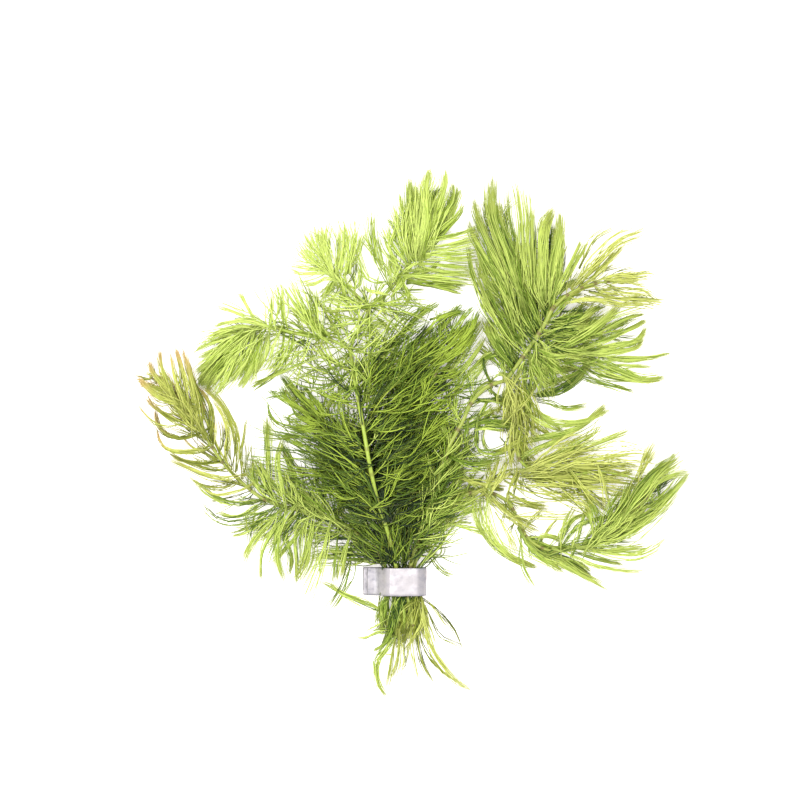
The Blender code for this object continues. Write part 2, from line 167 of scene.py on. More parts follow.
# Tones run from 0 for dark to 1 for light: the common tone, which a leaf has at this share of its plume's
# height, and how much tufts, leaves and segments differ from it. Leaves above that height are lighter
# and lower ones darker, as painted light and shade. Leaves outside tufts, which lie low among the others,
# are a little darker as painted shade.
COMMON_TONE = 0.6
MIDDLE_HEIGHT = 0.45
TUFT_TONES = 0.1
LEAF_TONES = 0.23
SEGMENT_TONES = 0.17
FREE_SHADE = -0.06

# Half the length of a stem's swelling, and how uneven its skin is
WHORL_REACH = 1.1
UNEVENNESS = 0.05

# The lead strip, as in the plain part: a flat band folded over the stems with its ends pressed together
STRIP_WIDTH = 12.0
STRIP_THICKNESS = 1.0
LOOP_HEIGHT = 9.0
LOOP_RIGHT = 12.6
UNDER_END = -14.6
OVER_END = -12.9
SLOPE_TOP = -4.0
SLOPE_FOOT = -8.6
PRESSED_GAP = 0.4
FOLD_RADIUS = 2.0
FOLD_STEPS = 4
ARC_STEPS = 10
SECTION_STEPS = 21

# Its cut ends, which are a little thinner and narrower than the rest of the band
END_THICKNESS = 0.5
END_WIDTH = 0.9925

# Where painted shade darkens it, in mm from its middle: its two long edges and its right bend, and how far
# the painted highlight on its slope runs on past the slope's foot
EDGE_SHADE = (4.9, 6.1)
BEND_SHADE = (8.6, 11.5)
HIGHLIGHT_LENGTH = 2.0

# The space in which strands keep clear of it, in mm: along the bunch, the loop's two sides and its
# headroom, which grows with the distance from it, and the left end and the height of its pressed end
STRIP_REACH = 7.5
LOOP_SIDES = (-5, 9)
HEADROOM = 6.8
HEADROOM_GROWTH = 1.2
PRESSED_LEFT = -15
PRESSED_TOP = 3.2

# The stage: the middle of the picture in mm, and the dome's colour, the lamp and the camera in metres
PICTURE_CENTRE = (1.3, 77.8, 0)
DOME_COLOUR = (1.0, 0.99, 0.98, 1.0)
LAMP_SIZE = 0.9
LAMP_OFFSET = (-0.35, 0.3, 1.2)
SENSOR_WIDTH = 36
VIEW_LIMIT = 10

# Stem routes as (x, y, z) along the middle, with the radius at the start and at the end, and the distance
# between two whorls at the start and at the end
STEMS = {
    "stem_left": (
        ((-7, -21, 2.2), (-4.6, -10, 2.3), (-3.6, 0, 2.4), (-6.5, 9, 3.2), (-18, 21, 5.5), (-33, 29, 6.5),
         (-48, 32, 6.5), (-57, 35.5, 6.5), (-62.4, 39, 6.5)),
        (1.05, 0.95), (12, 10)),
    "stem_left_tip": (
        ((-62.4, 39, 6.5), (-70, 46, 7), (-75.5, 52.5, 7.5), (-83.4, 64, 8), (-91, 74.5, 8),
         (-99.5, 84, 6), (-106, 87.5, 4)),
        (0.9, 0.5), (9, 4)),
    "stem_inner_left": (
        ((-2, -18, 2.2), (-0.6, -8, 2.3), (-0.4, 0, 2.4), (-2.6, 14, 4.5), (-8.5, 31, 7), (-18, 47, 8),
         (-29, 62, 8), (-40, 73, 6.5), (-48, 82, 4)),
        (1.05, 0.6), (12, 6)),
    "stem_inner_right": (
        ((3.4, -22, 2.2), (2.9, -8, 2.3), (2.8, 0, 2.4), (3.4, 15, 5), (4, 32, 9), (5, 48, 11),
         (8, 64, 11.5), (13, 80, 11), (19, 95, 9), (25, 108, 6)),
        (1.1, 0.6), (12, 6)),
    "stem_lower_right": (
        ((10, -20, 2.2), (7.4, -8, 2.3), (6.2, 0, 2.4), (10, 15, 5), (17, 27, 7), (27, 36, 7),
         (36.6, 38.7, 6.5), (46.9, 34.8, 6), (51.5, 27, 5.5), (55, 19.8, 5)),
        (1.05, 0.85), (12, 10)),
    "stem_lower_right_tip": (
        ((55, 19.8, 5), (60, 15.5, 5), (68, 13, 5.5), (77, 14.5, 6), (88, 20, 6.5), (98, 27, 7),
         (106.6, 35.5, 6.5), (112, 43, 4.5)),
        (0.8, 0.5), (9, 4)),
    "stem_centre": (
        ((1, -17, 4.9), (0.6, -6, 5.2), (0.6, 0, 5.3), (-1.5, 12, 9), (-5.2, 26, 17), (-8.2, 35, 22),
         (-10.8, 47, 25), (-12.5, 56, 26), (-14.6, 68.4, 24), (-16, 76, 21), (-18, 86.4, 16),
         (-20, 99.3, 10)),
        (1.1, 0.95), (12, 10)),
    "branch_drooping": (
        ((-20, 99.3, 10), (-28.8, 103.6, 8), (-41.7, 105.8, 7), (-49.5, 107.9, 7), (-55.5, 109.2, 7),
         (-65.4, 107, 7), (-71.8, 101.5, 6.5), (-78.3, 92.9, 5), (-82, 86.5, 3.5)),
        (0.85, 0.45), (9, 4)),
    "branch_top": (
        ((-20, 99.3, 10), (-17.5, 106, 8.5), (-13.8, 112.2, 8), (-11.6, 117.4, 7.5)),
        (0.85, 0.8), (9, 9)),
    "branch_top_left": (
        ((-11.6, 117.4, 7.5), (-17, 122.5, 6.5), (-22.4, 127.3, 6), (-28, 134.5, 6), (-33, 142, 4.5)),
        (0.65, 0.45), (8, 4)),
    "branch_top_middle": (
        ((-11.6, 117.4, 7.5), (-6, 122.1, 7), (-0.9, 127.3, 7), (3.4, 133.7, 7), (7.7, 140, 7),
         (12, 150, 6), (14, 163, 4)),
        (0.75, 0.5), (8, 4)),
    "stem_right": (
        ((6.6, -19, 4.9), (4.8, -7, 5.2), (4.4, 0, 5.3), (6.5, 10, 7), (9.9, 22, 10), (16, 40, 13),
         (21.9, 57.2, 14), (28, 68.8, 13.5), (31.4, 76.1, 13), (37.8, 83, 12), (46.9, 86.4, 11)),
        (1.25, 0.95), (13, 12)),
    "stem_right_upper": (
        ((46.9, 86.4, 11), (54.6, 97.6, 13), (61.5, 107.9, 13), (66.7, 117.4, 12)),
        (1.0, 1.1), (12, 12)),
    "branch_right_tip": (
        ((66.7, 117.4, 12), (74.4, 123.8, 10), (85, 127.7, 7), (94, 128.5, 4.5)),
        (0.9, 0.5), (8, 5)),
    "branch_right_fan": (
        ((54.6, 97.6, 13), (52, 108, 10), (48, 124, 8), (45, 140, 6.5), (43, 154, 4.5)),
        (0.8, 0.5), (8, 5)),
    "branch_right_fan_small": (
        ((66.7, 117.4, 12), (67, 127, 9), (66.5, 142, 5)),
        (0.65, 0.45), (8, 5)),
    "branch_right_side": (
        ((61.5, 107.9, 13), (72, 106, 9), (84, 106, 7), (97, 108, 4.5)),
        (0.7, 0.45), (8, 5)),
    "branch_hanging": (
        ((46.9, 86.4, 11), (48.5, 78, 8.5), (49.5, 69.2, 7.5), (51, 60, 7), (52.5, 52, 6.5)),
        (0.85, 0.8), (9, 8)),
    "branch_hanging_band": (
        ((52.5, 52, 6.5), (58, 47.5, 6), (70, 45, 6), (84, 47, 6), (95, 46, 5), (103, 43.5, 3.5)),
        (0.75, 0.45), (8, 4)),
}

# The younger stems, which are greener
SHOOTS = ("stem_centre", "branch_drooping", "branch_top", "branch_top_left", "branch_top_middle",
          "branch_right_fan", "branch_right_fan_small", "branch_right_side", "branch_hanging_band")


@dataclass
class Plume:
    """The leaves of one stretch of stem, from its first to its last whorl.

    span is that stretch in mm along the stem, whorls the distance between two whorls and leaves the number
    in each. length is in mm. A leaf leaves the stem at the angle opens, in degrees, and bends towards
    closes. Two values are for the start and the end of the stretch. sweep carries every tip aside, in mm,
    and lift raises the base of the drawn leaves. over is the share of these that pass over the stem. clump
    is how much the leaves cling together, from 0 for an airy net of wide forks to 1 for smooth pointed
    locks. tone makes all leaves lighter or darker, and blush is how much of the tips' own colour shows. look
    names the colours where they aren't the finish's own.

    tufts are leaves that cling together along a drawn line, as their number, how much lighter or darker
    they are, and the line's x and y in turn. sheets are many leaves side by side, as their number, that
    shade, and the lines that the leaves follow in turn from the first to the last, each as x and y in turn.
    Tufts and sheets darkened to about -0.5 and below are mostly painted shade: dark leaves laid low in the
    heart of the bunch and just under the strip, where shadow falls.
    """

    stem: str
    span: tuple
    finish: str
    whorls: tuple = (4, 4)
    leaves: int = 9
    length: tuple = (24, 22)
    opens: tuple = (75, 65)
    closes: tuple = (35, 25)
    sweep: tuple = (0, 0)
    lift: float = 0
    over: tuple = (0.4, 0.4)
    clump: float = 0.5
    tone: float = 0
    blush: float = 1
    look: str = ""
    tufts: tuple = ()
    sheets: tuple = ()

    def __post_init__(self):
        self.look = self.look or self.finish.removeprefix("leaf_")

    def share(self, distance):
        """How far along the plume's stretch a place on the stem is, from 0 to 1."""
        return np.clip((distance - self.span[0]) / (self.span[1] - self.span[0]), 0, 1)


PLUMES = {
    "leaves_left_root": Plume(
        "stem_left", (37, 62), "leaf_mid", whorls=(7, 6), leaves=6, length=(20, 22), opens=(70, 75),
        closes=(50, 50),
        tufts=(
            (3, 0, -29, 24, -32, 12, -36, 2, -41, -9),
            (4, -0.3, -8, 10.5, -18, 10, -27, 10.5, -33, 11.3, -39, 8.5),
            (4, -0.2, -4, 10, -14, 11, -24, 11.5, -34, 11),
            (3, -0.15, -19.5, 17, -19.5, 8, -21.5, 0, -25, -7, -30, -14), (1, 0, -15, 9, -18.5, 6.5),
            (3, -0.4, -16, 17, -23, 19, -32, 19), (2, -0.2, -18, 12, -25, 13, -33, 13),
            (3, 0.1, -25, 20, -26.5, 10, -28, -2), (1, 0.1, -28, 20, -32, 10, -32, 2),
            (4, 0, -20, 20, -23, 10, -24, 1), (1, 0, -21, 18, -24, 8, -21, 3),
            (3, 0, -30, 27, -36, 19, -38, 8, -44, -2)),
        sheets=(
            (7, 0, (-1, 7, -8, 9, -17, 13), (-1, 10, -9, 16, -18, 24)),
            (14, -0.1, (-8, 14, -17, 18, -28, 22), (-8, 22, -18, 30, -30, 38)),
            (8, 0, (-20, 20, -30, 22, -40, 20), (-22, 24, -32, 30, -42, 38)),
            (16, -0.1, (-26, 26, -33, 33, -40, 42), (-36, 28, -43, 34, -50, 42)))),
    "leaves_left_lower": Plume(
        "stem_left", (63, 96), "leaf_mid", whorls=(7, 6), leaves=6, length=(20, 20), opens=(75, 75),
        closes=(50, 45), clump=0.75, tone=0.08,
        tufts=(
            (2, -0.4, -54, 31, -62, 28, -70, 25.5, -77, 26.5, -82, 31, -84.5, 35.5),
            (3, 0.1, -57, 35.5, -67, 33.5, -75, 35, -81, 38, -86.5, 43),
            (3, 0, -56, 34, -63, 30, -70, 28, -77, 30), (3, 0, -46, 30, -53, 22, -58, 12, -58.5, 0),
            (4, 0, -50, 30, -58, 22, -63, 15, -66, 7.5), (4, 0, -45, 31, -51, 22, -52, 12, -49, -1),
            (4, 0, -44, 31, -47.5, 20, -45, 10, -46.5, 2), (3, 0, -41, 30, -43.5, 18, -43, 8, -43.5, -2),
            (4, -0.1, -36, 29, -37.5, 19, -39.5, 10, -43, 1), (3, 0, -38, 29, -43, 20, -48, 14, -54, 8),
            (3, 0.1, -52, 32, -58, 26, -65, 21, -72, 19), (2, 0, -48, 31, -56, 27, -64, 25, -72, 24),
            (6, 0.1, -54, 36, -55, 48, -55.5, 60, -56, 71), (3, 0, -48, 34, -50, 44, -51, 54, -48, 62),
            (3, 0, -44, 33, -50, 40, -58, 46, -66, 49), (2, 0, -40, 32, -43, 42, -47, 52, -50, 60)),
        sheets=(
            (12, 0, (-38, 30, -44, 37, -54, 44), (-56, 36, -62, 46, -66, 58)),
            (10, 0, (-34, 28, -38, 20, -42, 10), (-54, 33, -62, 24, -68, 16)))),
    "leaves_left_bend": Plume(
        "stem_left_tip", (0, 18), "leaf_olive", whorls=(6, 6), leaves=4, length=(20, 22), opens=(75, 70),
        closes=(35, 30), clump=0.95, tone=-0.1, blush=0.15,
        tufts=(
            (3, 0, -63, 40, -72, 43, -82, 45, -90, 48.5, -99.5, 52.5),
            (2, 0.1, -69, 45, -77, 44, -85, 47, -94, 50.5), (4, 0, -75, 52, -84, 50.5, -92, 52, -98, 55),
            (4, 0, -69, 47, -68.5, 57, -71, 68, -76, 76.5, -84, 84),
            (2, 0.2, -73, 52, -72, 62, -74, 70, -79, 78), (2, 0, -66, 44, -66.5, 55, -65.5, 62, -64.5, 70),
            (2, -0.1, -71, 50, -73, 58, -72, 66), (3, 0.1, -72, 49, -80, 48, -88, 50.5, -96, 53),
            (2, 0, -64, 41, -70, 38, -78, 37, -86, 42), (2, 0.1, -67, 44, -74, 41, -82, 41, -90, 45),
            (3, 0, -73, 51, -79, 53, -86, 58), (2, 0.1, -70, 47, -76, 56, -80, 65))),
    "leaves_left_tip": Plume(
        "stem_left_tip", (20, 66), "leaf_olive", whorls=(5, 2.5), leaves=6, length=(20, 9), opens=(65, 45),
        closes=(20, 5), clump=0.95, tone=0.01,
        tufts=(
            (5, 0, -79, 58, -84, 56, -92, 55.3, -98.5, 57, -101.5, 60.5, -103, 65),
            (4, 0, -83, 64, -88, 61, -94, 60.2, -99, 62.5, -102.5, 67, -104, 73.5),
            (3, 0.1, -84, 64.5, -90, 66.5, -96, 69.5, -103, 74, -108.5, 79),
            (3, 0, -87, 70, -92, 69.3, -98, 71, -104, 75, -107, 80),
            (1, 0.2, -87, 69, -94, 67.5, -101, 67, -107, 71, -112, 76.5),
            (4, 0, -91, 75, -97, 77, -104, 80, -111.5, 88),
            (4, 0.1, -93, 77, -99, 81, -105, 83.5, -111, 86),
            (4, 0.1, -95, 79, -101, 85, -105, 90, -107, 94.5),
            (5, 0.1, -94, 78, -97.5, 85, -100.5, 91, -102.5, 100),
            (3, 0, -91, 76, -94, 85, -96, 92, -97, 98.5), (7, 0.1, -89, 74, -90.5, 84, -92.5, 93, -95, 100),
            (6, 0, -83, 66, -86, 78, -89, 90, -92, 100),
            (6, -0.1, -79, 59, -80.5, 68, -84, 77, -88, 87, -90, 95),
            (6, -0.1, -80, 60, -79, 70, -81, 78, -86, 84)),
        sheets=(
            (10, 0.05, (-80, 58, -83, 70, -88, 84), (-91, 73, -98, 82, -105, 90)),
            (5, -0.1, (-82, 62, -88, 66, -95, 72), (-88, 70, -93, 75, -99, 82)))),
    "leaves_inner_left": Plume(
        "stem_inner_left", (41, 95), "leaf_dark", whorls=(7, 6), leaves=5, length=(22, 24), opens=(50, 60),
        clump=0.35, tone=0.06,
        tufts=(
            (1, 0.2, -35, 54, -43, 58, -50, 61.5, -60, 65.5, -71, 72),
            (2, 0.15, -30, 51, -42, 53, -52, 53, -66, 54), (2, 0.15, -34, 47, -45, 44, -55, 46, -68, 49),
            (3, 0, -38, 45, -44, 51, -50, 60), (2, 0, -36, 56, -44, 60, -52, 64),
            (4, -0.1, -20, 46, -28, 50, -38, 55, -46, 60), (2, 0, -22, 50, -30, 57, -38, 60, -48, 64),
            (2, 0, -26, 46, -34, 46, -42, 42, -50, 44), (2, 0.1, -24, 42, -34, 47, -44, 48, -54, 52),
            (2, 0.1, -28, 58, -38, 62, -50, 64, -60, 67)),
        sheets=(
            (26, -0.15, (-12, 44, -22, 50, -34, 58), (-20, 56, -28, 64, -37, 72)),
            (18, -0.1, (-8, 30, -18, 37, -30, 44), (-14, 42, -25, 48, -37, 53)),
            (12, 0.2, (-16, 46, -18, 58, -21, 68), (-22, 56, -24, 68, -27, 79)),
            (10, 0, (-14, 36, -22, 34, -32, 34), (-18, 46, -28, 47, -40, 45)),
            # Painted shade: a dark sheet laid low in the heart of the bunch
            (24, -0.5, (-8, 34, -18, 42, -30, 50), (-16, 50, -24, 58, -33, 66)),
            (8, 0.1, (-34, 30, -33, 40, -33, 52), (-20, 26, -19, 36, -20, 48)))),
    "leaves_inner_left_tip": Plume(
        "stem_inner_left", (96, 116), "leaf_mid", whorls=(5, 3.5), leaves=5, length=(15, 10), clump=0.8,
        tone=0.2, look="dark",
        tufts=(
            (8, -0.35, -33, 69, -39, 75.5, -45, 82, -50, 88.5),
            (2, -0.1, -38, 72, -44, 75, -50, 78.5, -56, 82),
            (2, -0.1, -40, 65, -47, 66.5, -52, 68.5, -54.5, 72, -55.5, 77),
            (5, 0.1, -34, 68, -41, 73, -46, 77, -50, 84), (5, 0.2, -32, 68, -38, 76, -42, 81, -46, 85),
            (4, 0.2, -31, 69, -34, 76, -37, 80, -40, 84), (3, 0.1, -32, 66, -38, 69, -43, 71, -45, 75),
            (3, 0.1, -32, 64, -38, 65, -45, 66), (1, -0.1, -42, 72, -46, 71, -45.5, 66)),
        sheets=(
            (11, 0.2, (-31, 62, -38, 64, -44, 66), (-32, 68, -40, 74, -46, 80),
            (-30, 70, -31, 76, -34, 82)),)),
    "leaves_centre_low": Plume(
        "stem_centre", (26, 78), "leaf_dark", whorls=(7, 7), length=(20, 24), opens=(50, 60),
        closes=(30, 35), lift=-0.8, over=(0.9, 0.0), clump=0.3, tone=-0.17,
        tufts=(
            (2, 0.2, -13, 55, -17, 56, -21, 59, -25, 63, -28, 66), (2, 0, -14, 65, -5, 66, 3, 69, 10, 70),
            (1, 0.3, -3, 45, -4, 51, -5, 57), (2, 0.1, -12.5, 55, -8, 56.5, -2, 56, 4, 59),
            (2, 0.1, -15, 65, -19, 64.5, -24, 67), (3, 0, -13, 64, -9, 68, -4, 72, 0, 76),
            (2, 0.1, -12, 45, -16, 46, -22, 49), (3, 0, -10, 44, -3, 45, 4, 46, 12, 50),
            (3, 0.1, -16, 75, -10, 76, -5, 80), (3, 0, -8, 34, -2, 38, 6, 40),
            # Painted shade: the tufts darkened to -0.6 and below, from here to the end of the list, stand
            # for the deep shadow round the lower stem
            (3, 0, -7, 32, -12, 36, -18, 38, -26, 38), (10, -0.85, -5, 32, -8, 44, -10, 56, -12, 66),
            (10, -0.9, -1, 9, -5, 19, -9, 29), (5, -0.7, -8, 62, -6, 70, -3, 80),
            (4, -0.9, -3, 11, -8, 20, -14, 28), (7, -0.7, -3, 30, -5, 42, -7, 54, -8, 66),
            (5, -0.6, -14, 62, -15, 72, -15, 82, -14, 90), (5, -0.6, -9, 36, -14, 48, -18, 60, -20, 70)),
        sheets=(
            (30, -0.1, (-6, 35, 2, 40, 12, 50), (-10, 50, 1, 55, 13, 65), (-13, 64, -1, 70, 11, 80),
             (-15, 74, -4, 80, 7, 91)),
            (24, -0.05, (-8, 30, -17, 34, -27, 42), (-12, 45, -21, 50, -31, 59),
            (-14, 60, -21, 66, -29, 76)),
            (26, -0.15, (-7, 8, -13, 15, -21, 25), (-3, 8, -6, 19, -12, 31), (1, 8, 4, 19, 6, 33),
             (6, 8, 11, 18, 17, 30)),
            # Painted shade: these two dark sheets lie low under the others, where shadow fills the heart of
            # the bunch
            (36, -0.6, (-8, 26, -16, 30, -26, 34), (-12, 48, -20, 49, -29, 52),
            (-14, 62, -20, 64, -26, 70)),
            (50, -0.5, (-5, 24, 4, 30, 14, 38), (-8, 46, 2, 52, 14, 60), (-12, 64, -2, 70, 10, 78)),
            (20, 0.1, (-15, 70, -7, 78, 0, 90), (-17, 84, -12, 94, -6, 106)),
            (7, 0.15, (-16, 70, -24, 76, -30, 84), (-18, 84, -24, 91, -28, 100)))),
    "leaves_centre_high": Plume(
        "stem_centre", (80, 121), "leaf_mid", whorls=(9, 8), leaves=6, length=(20, 20), opens=(60, 65),
        closes=(35, 35), lift=-1.2, over=(0, 0.3), clump=0, tone=0.03,
        tufts=(
            (3, 0, -20, 91, -25, 86.5, -33, 83.3, -42, 84.5, -50, 89),
            (3, 0, -22, 92, -32, 95.5, -42, 92, -50, 88.5, -61, 83.5),
            (3, 0.1, -20, 91, -26, 94, -31, 99, -35, 106), (1, 0, -36, 83, -35.5, 88, -36, 92),
            (1, 0, -37, 83, -38, 88, -37.5, 92), (1, 0, -31, 81, -31, 86),
            (3, 0.1, -18, 92, -10, 95, -2, 97), (3, 0.1, -19, 85, -25, 80, -30, 73),
            (2, 0, -17, 84, -22, 77, -23, 70), (3, 0.1, -18, 86, -10, 88, -3, 93),
            (2, 0, -20, 98, -26, 95, -33, 96, -40, 99), (2, 0, -20, 100, -27, 100.5, -34, 99.5),
            (2, 0, -21, 97, -25, 104, -31, 108), (8, -0.15, -21, 82, -18, 90, -14, 98),
            (6, 0, -13, 85, -18, 91, -25, 97), (5, 0, -23, 89, -16, 91, -8, 92),
            (6, -0.2, -15, 80, -19, 88, -20, 97)),
        sheets=(
            (20, 0.1, (-16, 78, -8, 83, 1, 90), (-18, 90, -10, 94, -1, 100), (-20, 102, -12, 107, -4, 114)),
            (7, 0.1, (-18, 78, -25, 80, -32, 78), (-20, 90, -28, 90, -38, 94),
             (-20, 100, -28, 103, -38, 110)),
            (6, 0.1, (-18, 104, -27, 98, -37, 96), (-18, 90, -27, 86, -38, 88)),
            (5, 0.1, (-28, 104, -34, 96, -36, 88), (-44, 107, -45, 98, -42, 88)))),
    "leaves_drooping": Plume(
        "branch_drooping", (12, 38), "leaf_bright", whorls=(9, 9), leaves=4, length=(16, 16), clump=0.15,
        tone=-0.05,
        tufts=(
            (3, 0, -48, 108, -49, 115, -50, 123, -52.3, 129),
            (3, 0.2, -47, 108, -48, 115, -49, 121, -50, 127),
            (4, 0.2, -54, 109, -53.5, 113, -53, 118, -53.7, 124),
            (2, 0.3, -52, 109, -53, 113, -54.5, 119, -58, 130),
            (5, 0, -36, 107, -40, 114, -43, 118, -47, 124, -50, 128),
            (5, 0, -35, 107, -38, 115, -41, 121, -45.5, 130), (4, 0, -34, 107, -37, 117, -39, 124),
            (3, 0, -33, 107, -35, 118, -36.5, 126), (2, -0.3, -42, 111, -44, 116, -48, 118),
            (9, -0.2, -30, 105, -34, 110, -38, 115, -43, 121),
            (7, -0.1, -28, 103, -33, 109, -38, 113, -42, 118),
            (3, -0.1, -50, 107, -44, 104, -38, 100, -34, 93), (3, 0, -48, 107, -49, 98, -50.5, 92, -55, 87),
            (3, 0.1, -46, 107, -47, 101, -51, 95, -57, 90), (3, 0.1, -50, 107, -53, 101, -55, 95, -58, 91),
            (3, 0, -44, 106, -45, 99, -49, 93, -54, 89), (2, 0, -36, 104, -42, 97, -48, 92, -52, 89),
            (2, 0, -38, 104, -40, 97, -44, 92, -47, 90), (2, 0, -38, 100, -44, 102, -50, 99, -55, 96),
            (5, -0.2, -48, 91, -55, 87, -63, 83), (2, 0, -30, 103, -33, 97, -38, 94, -45, 93.5, -52, 96),
            (6, 0.1, -34, 105, -42, 107, -50, 109, -58, 109))),
    "leaves_drooping_tip": Plume(
        "branch_drooping", (39, 75), "leaf_bright", whorls=(5, 3), length=(16, 8), opens=(50, 35),
        closes=(5, 0), clump=0.65, tone=-0.06,
        tufts=(
            (2, 0.3, -56, 110, -61, 112.5, -66, 114, -72, 116.5, -79, 118.7),
            (3, 0.3, -60, 110, -63, 115, -65, 119, -68, 124),
            (3, 0.2, -56, 109.5, -61, 112, -68, 112, -74, 110.5, -79, 109),
            (2, 0.2, -60, 109, -66, 108.5, -72, 109, -80, 105.5),
            (3, 0.2, -64, 107, -70, 107, -76, 106, -81, 103.5),
            (3, 0, -66, 106, -73, 103.5, -80, 101.5, -87, 98.5),
            (2, 0, -66, 105, -74, 100, -80, 97.5, -86, 95.5), (3, 0, -68, 105, -76, 98, -82, 93, -87, 88.5),
            (3, 0, -69, 104, -78, 95, -83, 90, -85.5, 86.5),
            (10, -0.05, -60, 109, -68, 104, -76, 95, -84.5, 83.5),
            (12, -0.25, -64, 107, -73, 98, -80, 89, -84, 83.5),
            (9, -0.35, -69, 101, -75, 94, -80, 88, -84, 84),
            (9, -0.15, -64, 105, -70, 96, -77, 87, -82, 82.5),
            (6, 0.2, -58, 108, -66, 106, -73, 100, -79, 92), (3, 0, -66, 104, -69, 95, -73, 87, -79, 78.5),
            (3, 0.1, -64, 105, -67, 97, -70, 91, -74, 85), (3, 0.1, -62, 105, -64, 98, -67, 91, -72, 85),
            (5, 0.1, -60, 106, -62, 99, -64, 94, -68, 87), (8, 0.2, -58, 106, -59, 100, -62, 93, -68, 83),
            (4, 0.2, -56, 106, -57, 100, -60, 93, -65, 86), (4, 0.1, -55, 107, -55, 101, -57, 95, -61, 89)),
        sheets=(
            (14, 0.1, (-58, 110, -68, 108, -80, 100), (-58, 108, -69, 100, -82, 86),
             (-56, 106, -62, 97, -70, 86)),)),
    "leaves_fork": Plume(
        "branch_top", (0, 20), "leaf_bright", whorls=(10, 10), leaves=5, length=(18, 18), clump=0,
        tone=-0.03,
        tufts=(
            (7, -0.5, -14, 122, -13, 116, -14, 109),
            (5, -0.2, -22, 117, -12, 118, -4, 117, 4, 113, 14, 111),
            (3, -0.1, -12, 118, 0, 119, 10, 118, 18, 115.5),
            (3, 0, -13, 118, -20, 117, -27, 118.5, -33, 120),
            (3, 0, -33, 120, -29, 113, -26, 108, -24, 104), (2, 0.1, -33, 120, -26, 121, -21, 124),
            (2, 0.1, -33, 120, -29, 125, -27, 128), (2, 0, -33, 120, -38, 118),
            (2, 0.1, -33, 120, -36, 123, -40, 127), (4, 0, -24, 130, -24, 122, -26, 115, -27, 107),
            (2, 0, -20, 116, -28, 115.5, -36, 116), (2, 0, -16, 112, -24, 112.5, -33, 112),
            (3, 0, -17, 107, -24, 106, -34, 107), (2, 0, -14, 112, -24, 110, -34, 110),
            (2, 0, -10, 118, -4, 112, 2, 106, 8, 103), (2, 0.1, -12, 117, -6, 110, -2, 104),
            (3, 0, -19, 104, -12, 106, -4, 104), (3, 0.1, -18, 106, -10, 110, -2, 110),
            (2, 0, -19, 101, -24, 110, -30, 118)),
        sheets=(
            (8, 0, (-20, 102, -12, 104, -2, 104), (-14, 112, -6, 112, 4, 110)),
            (8, 0, (-17, 108, -25, 110, -34, 114), (-14, 114, -22, 120, -30, 126)))),
    "leaves_top_left": Plume(
        "branch_top_left", (3, 33), "leaf_bright", whorls=(6, 3), leaves=3, length=(14, 10),
        over=(0.8, 0.8), clump=0.3, tone=-0.06,
        tufts=(
            (7, 0.2, -27, 130, -31, 138, -34, 145, -36, 153.5),
            (6, 0.25, -27, 131, -33, 139, -38, 145, -40.5, 150.5),
            (5, 0.25, -28, 131, -35, 137, -40, 141, -42, 145),
            (4, 0.2, -28, 131, -31, 140, -31, 146, -30, 154),
            (5, 0.25, -28, 131, -30, 140, -33, 147, -37, 150),
            (3, 0.2, -28, 132, -35, 133, -41, 134, -48, 135.2),
            (3, 0.2, -28, 132, -35, 132, -42, 131.5, -47, 133.5),
            (3, 0.1, -27, 129, -32, 130, -36, 127, -41, 127),
            (4, 0.2, -26, 131, -26, 138, -25, 144, -25.5, 150),
            (4, 0.1, -26, 131, -24, 140, -23, 147, -26.5, 157),
            (4, 0.1, -24, 130, -23, 140, -22.5, 148, -23, 155),
            (3, 0.1, -22, 130, -21, 140, -22, 146, -23, 150),
            (3, 0.1, -21, 132, -18, 138, -18, 146, -20.5, 156),
            (4, 0.1, -21, 133, -17, 140, -16, 145, -14.5, 150.5), (5, 0, -23, 131, -21, 134, -20, 137),
            (2, 0.1, -20, 134, -19.5, 142, -19.5, 149), (3, 0, -7, 135, -12, 142, -16, 146.5),
            (3, 0, -4, 128, -9, 127.5, -14, 130.5, -16, 137, -19, 146),
            (3, 0, -22, 127, -16, 125, -14.5, 130, -16, 138),
            (4, -0.1, -23, 128, -19, 124, -14, 120, -11, 118), (6, 0, -26, 131, -28, 126, -33, 122),
            (4, 0, -25, 130, -22, 125, -21, 120))),
    "leaves_top_middle": Plume(
        "branch_top_middle", (4, 30), "leaf_bright", whorls=(8, 7), leaves=5, length=(14, 16),
        over=(0.8, 0.8), tone=-0.06,
        tufts=(
            (4, -0.15, -3, 127, -6, 133, -9, 140, -10.5, 148, -11, 154, -10.3, 160),
            (2, 0, -2, 127, -4, 133, -7, 138, -8, 146), (3, -0.1, 4, 140, 1, 149, 0, 156, -2, 163),
            (3, 0, 4, 139, 1, 147, -1, 153, -5, 157.5), (3, 0, 3, 137, -1, 143, -4, 148, -5.5, 153),
            (3, 0, 2, 134, -1, 138, -4, 143, -5.5, 149),
            (3, 0.1, 3, 135, -3, 140, -4.5, 144, -1, 152, 2, 160), (3, 0, 1, 130, -2, 137, -4, 141),
            (3, 0, 1, 128, -3, 133, -3, 139), (6, -0.3, 4, 128, 12, 126.8, 20, 126, 29, 124.5),
            (5, 0, 4, 129, 12, 129, 20, 128, 30, 127), (4, 0, 5, 131, 13, 131, 22, 130, 33, 129),
            (4, 0, 5, 133, 13, 135, 22, 133, 36, 131), (4, -0.2, 7, 136, 15, 136, 24, 135, 35, 134),
            (4, 0, 8, 138, 16, 139, 25, 138, 36, 138), (4, 0.1, 10, 140, 18, 141, 27, 141, 36, 143),
            (4, 0.1, 10, 142, 18, 143, 27, 145, 36, 148), (4, 0.1, 11, 144, 19, 147, 27, 149, 36, 152),
            (2, 0.1, -7, 123, -12, 124, -14.5, 126), (2, 0, -7, 123, -6, 118, -5, 113),
            (2, 0, -6, 123, -10, 119, -15, 117), (3, 0, 0, 128, -2, 122, 0, 116),
            (3, 0, 3, 128, 5, 122, 2, 117), (2, 0, 2, 126, 6, 121, 10, 119),
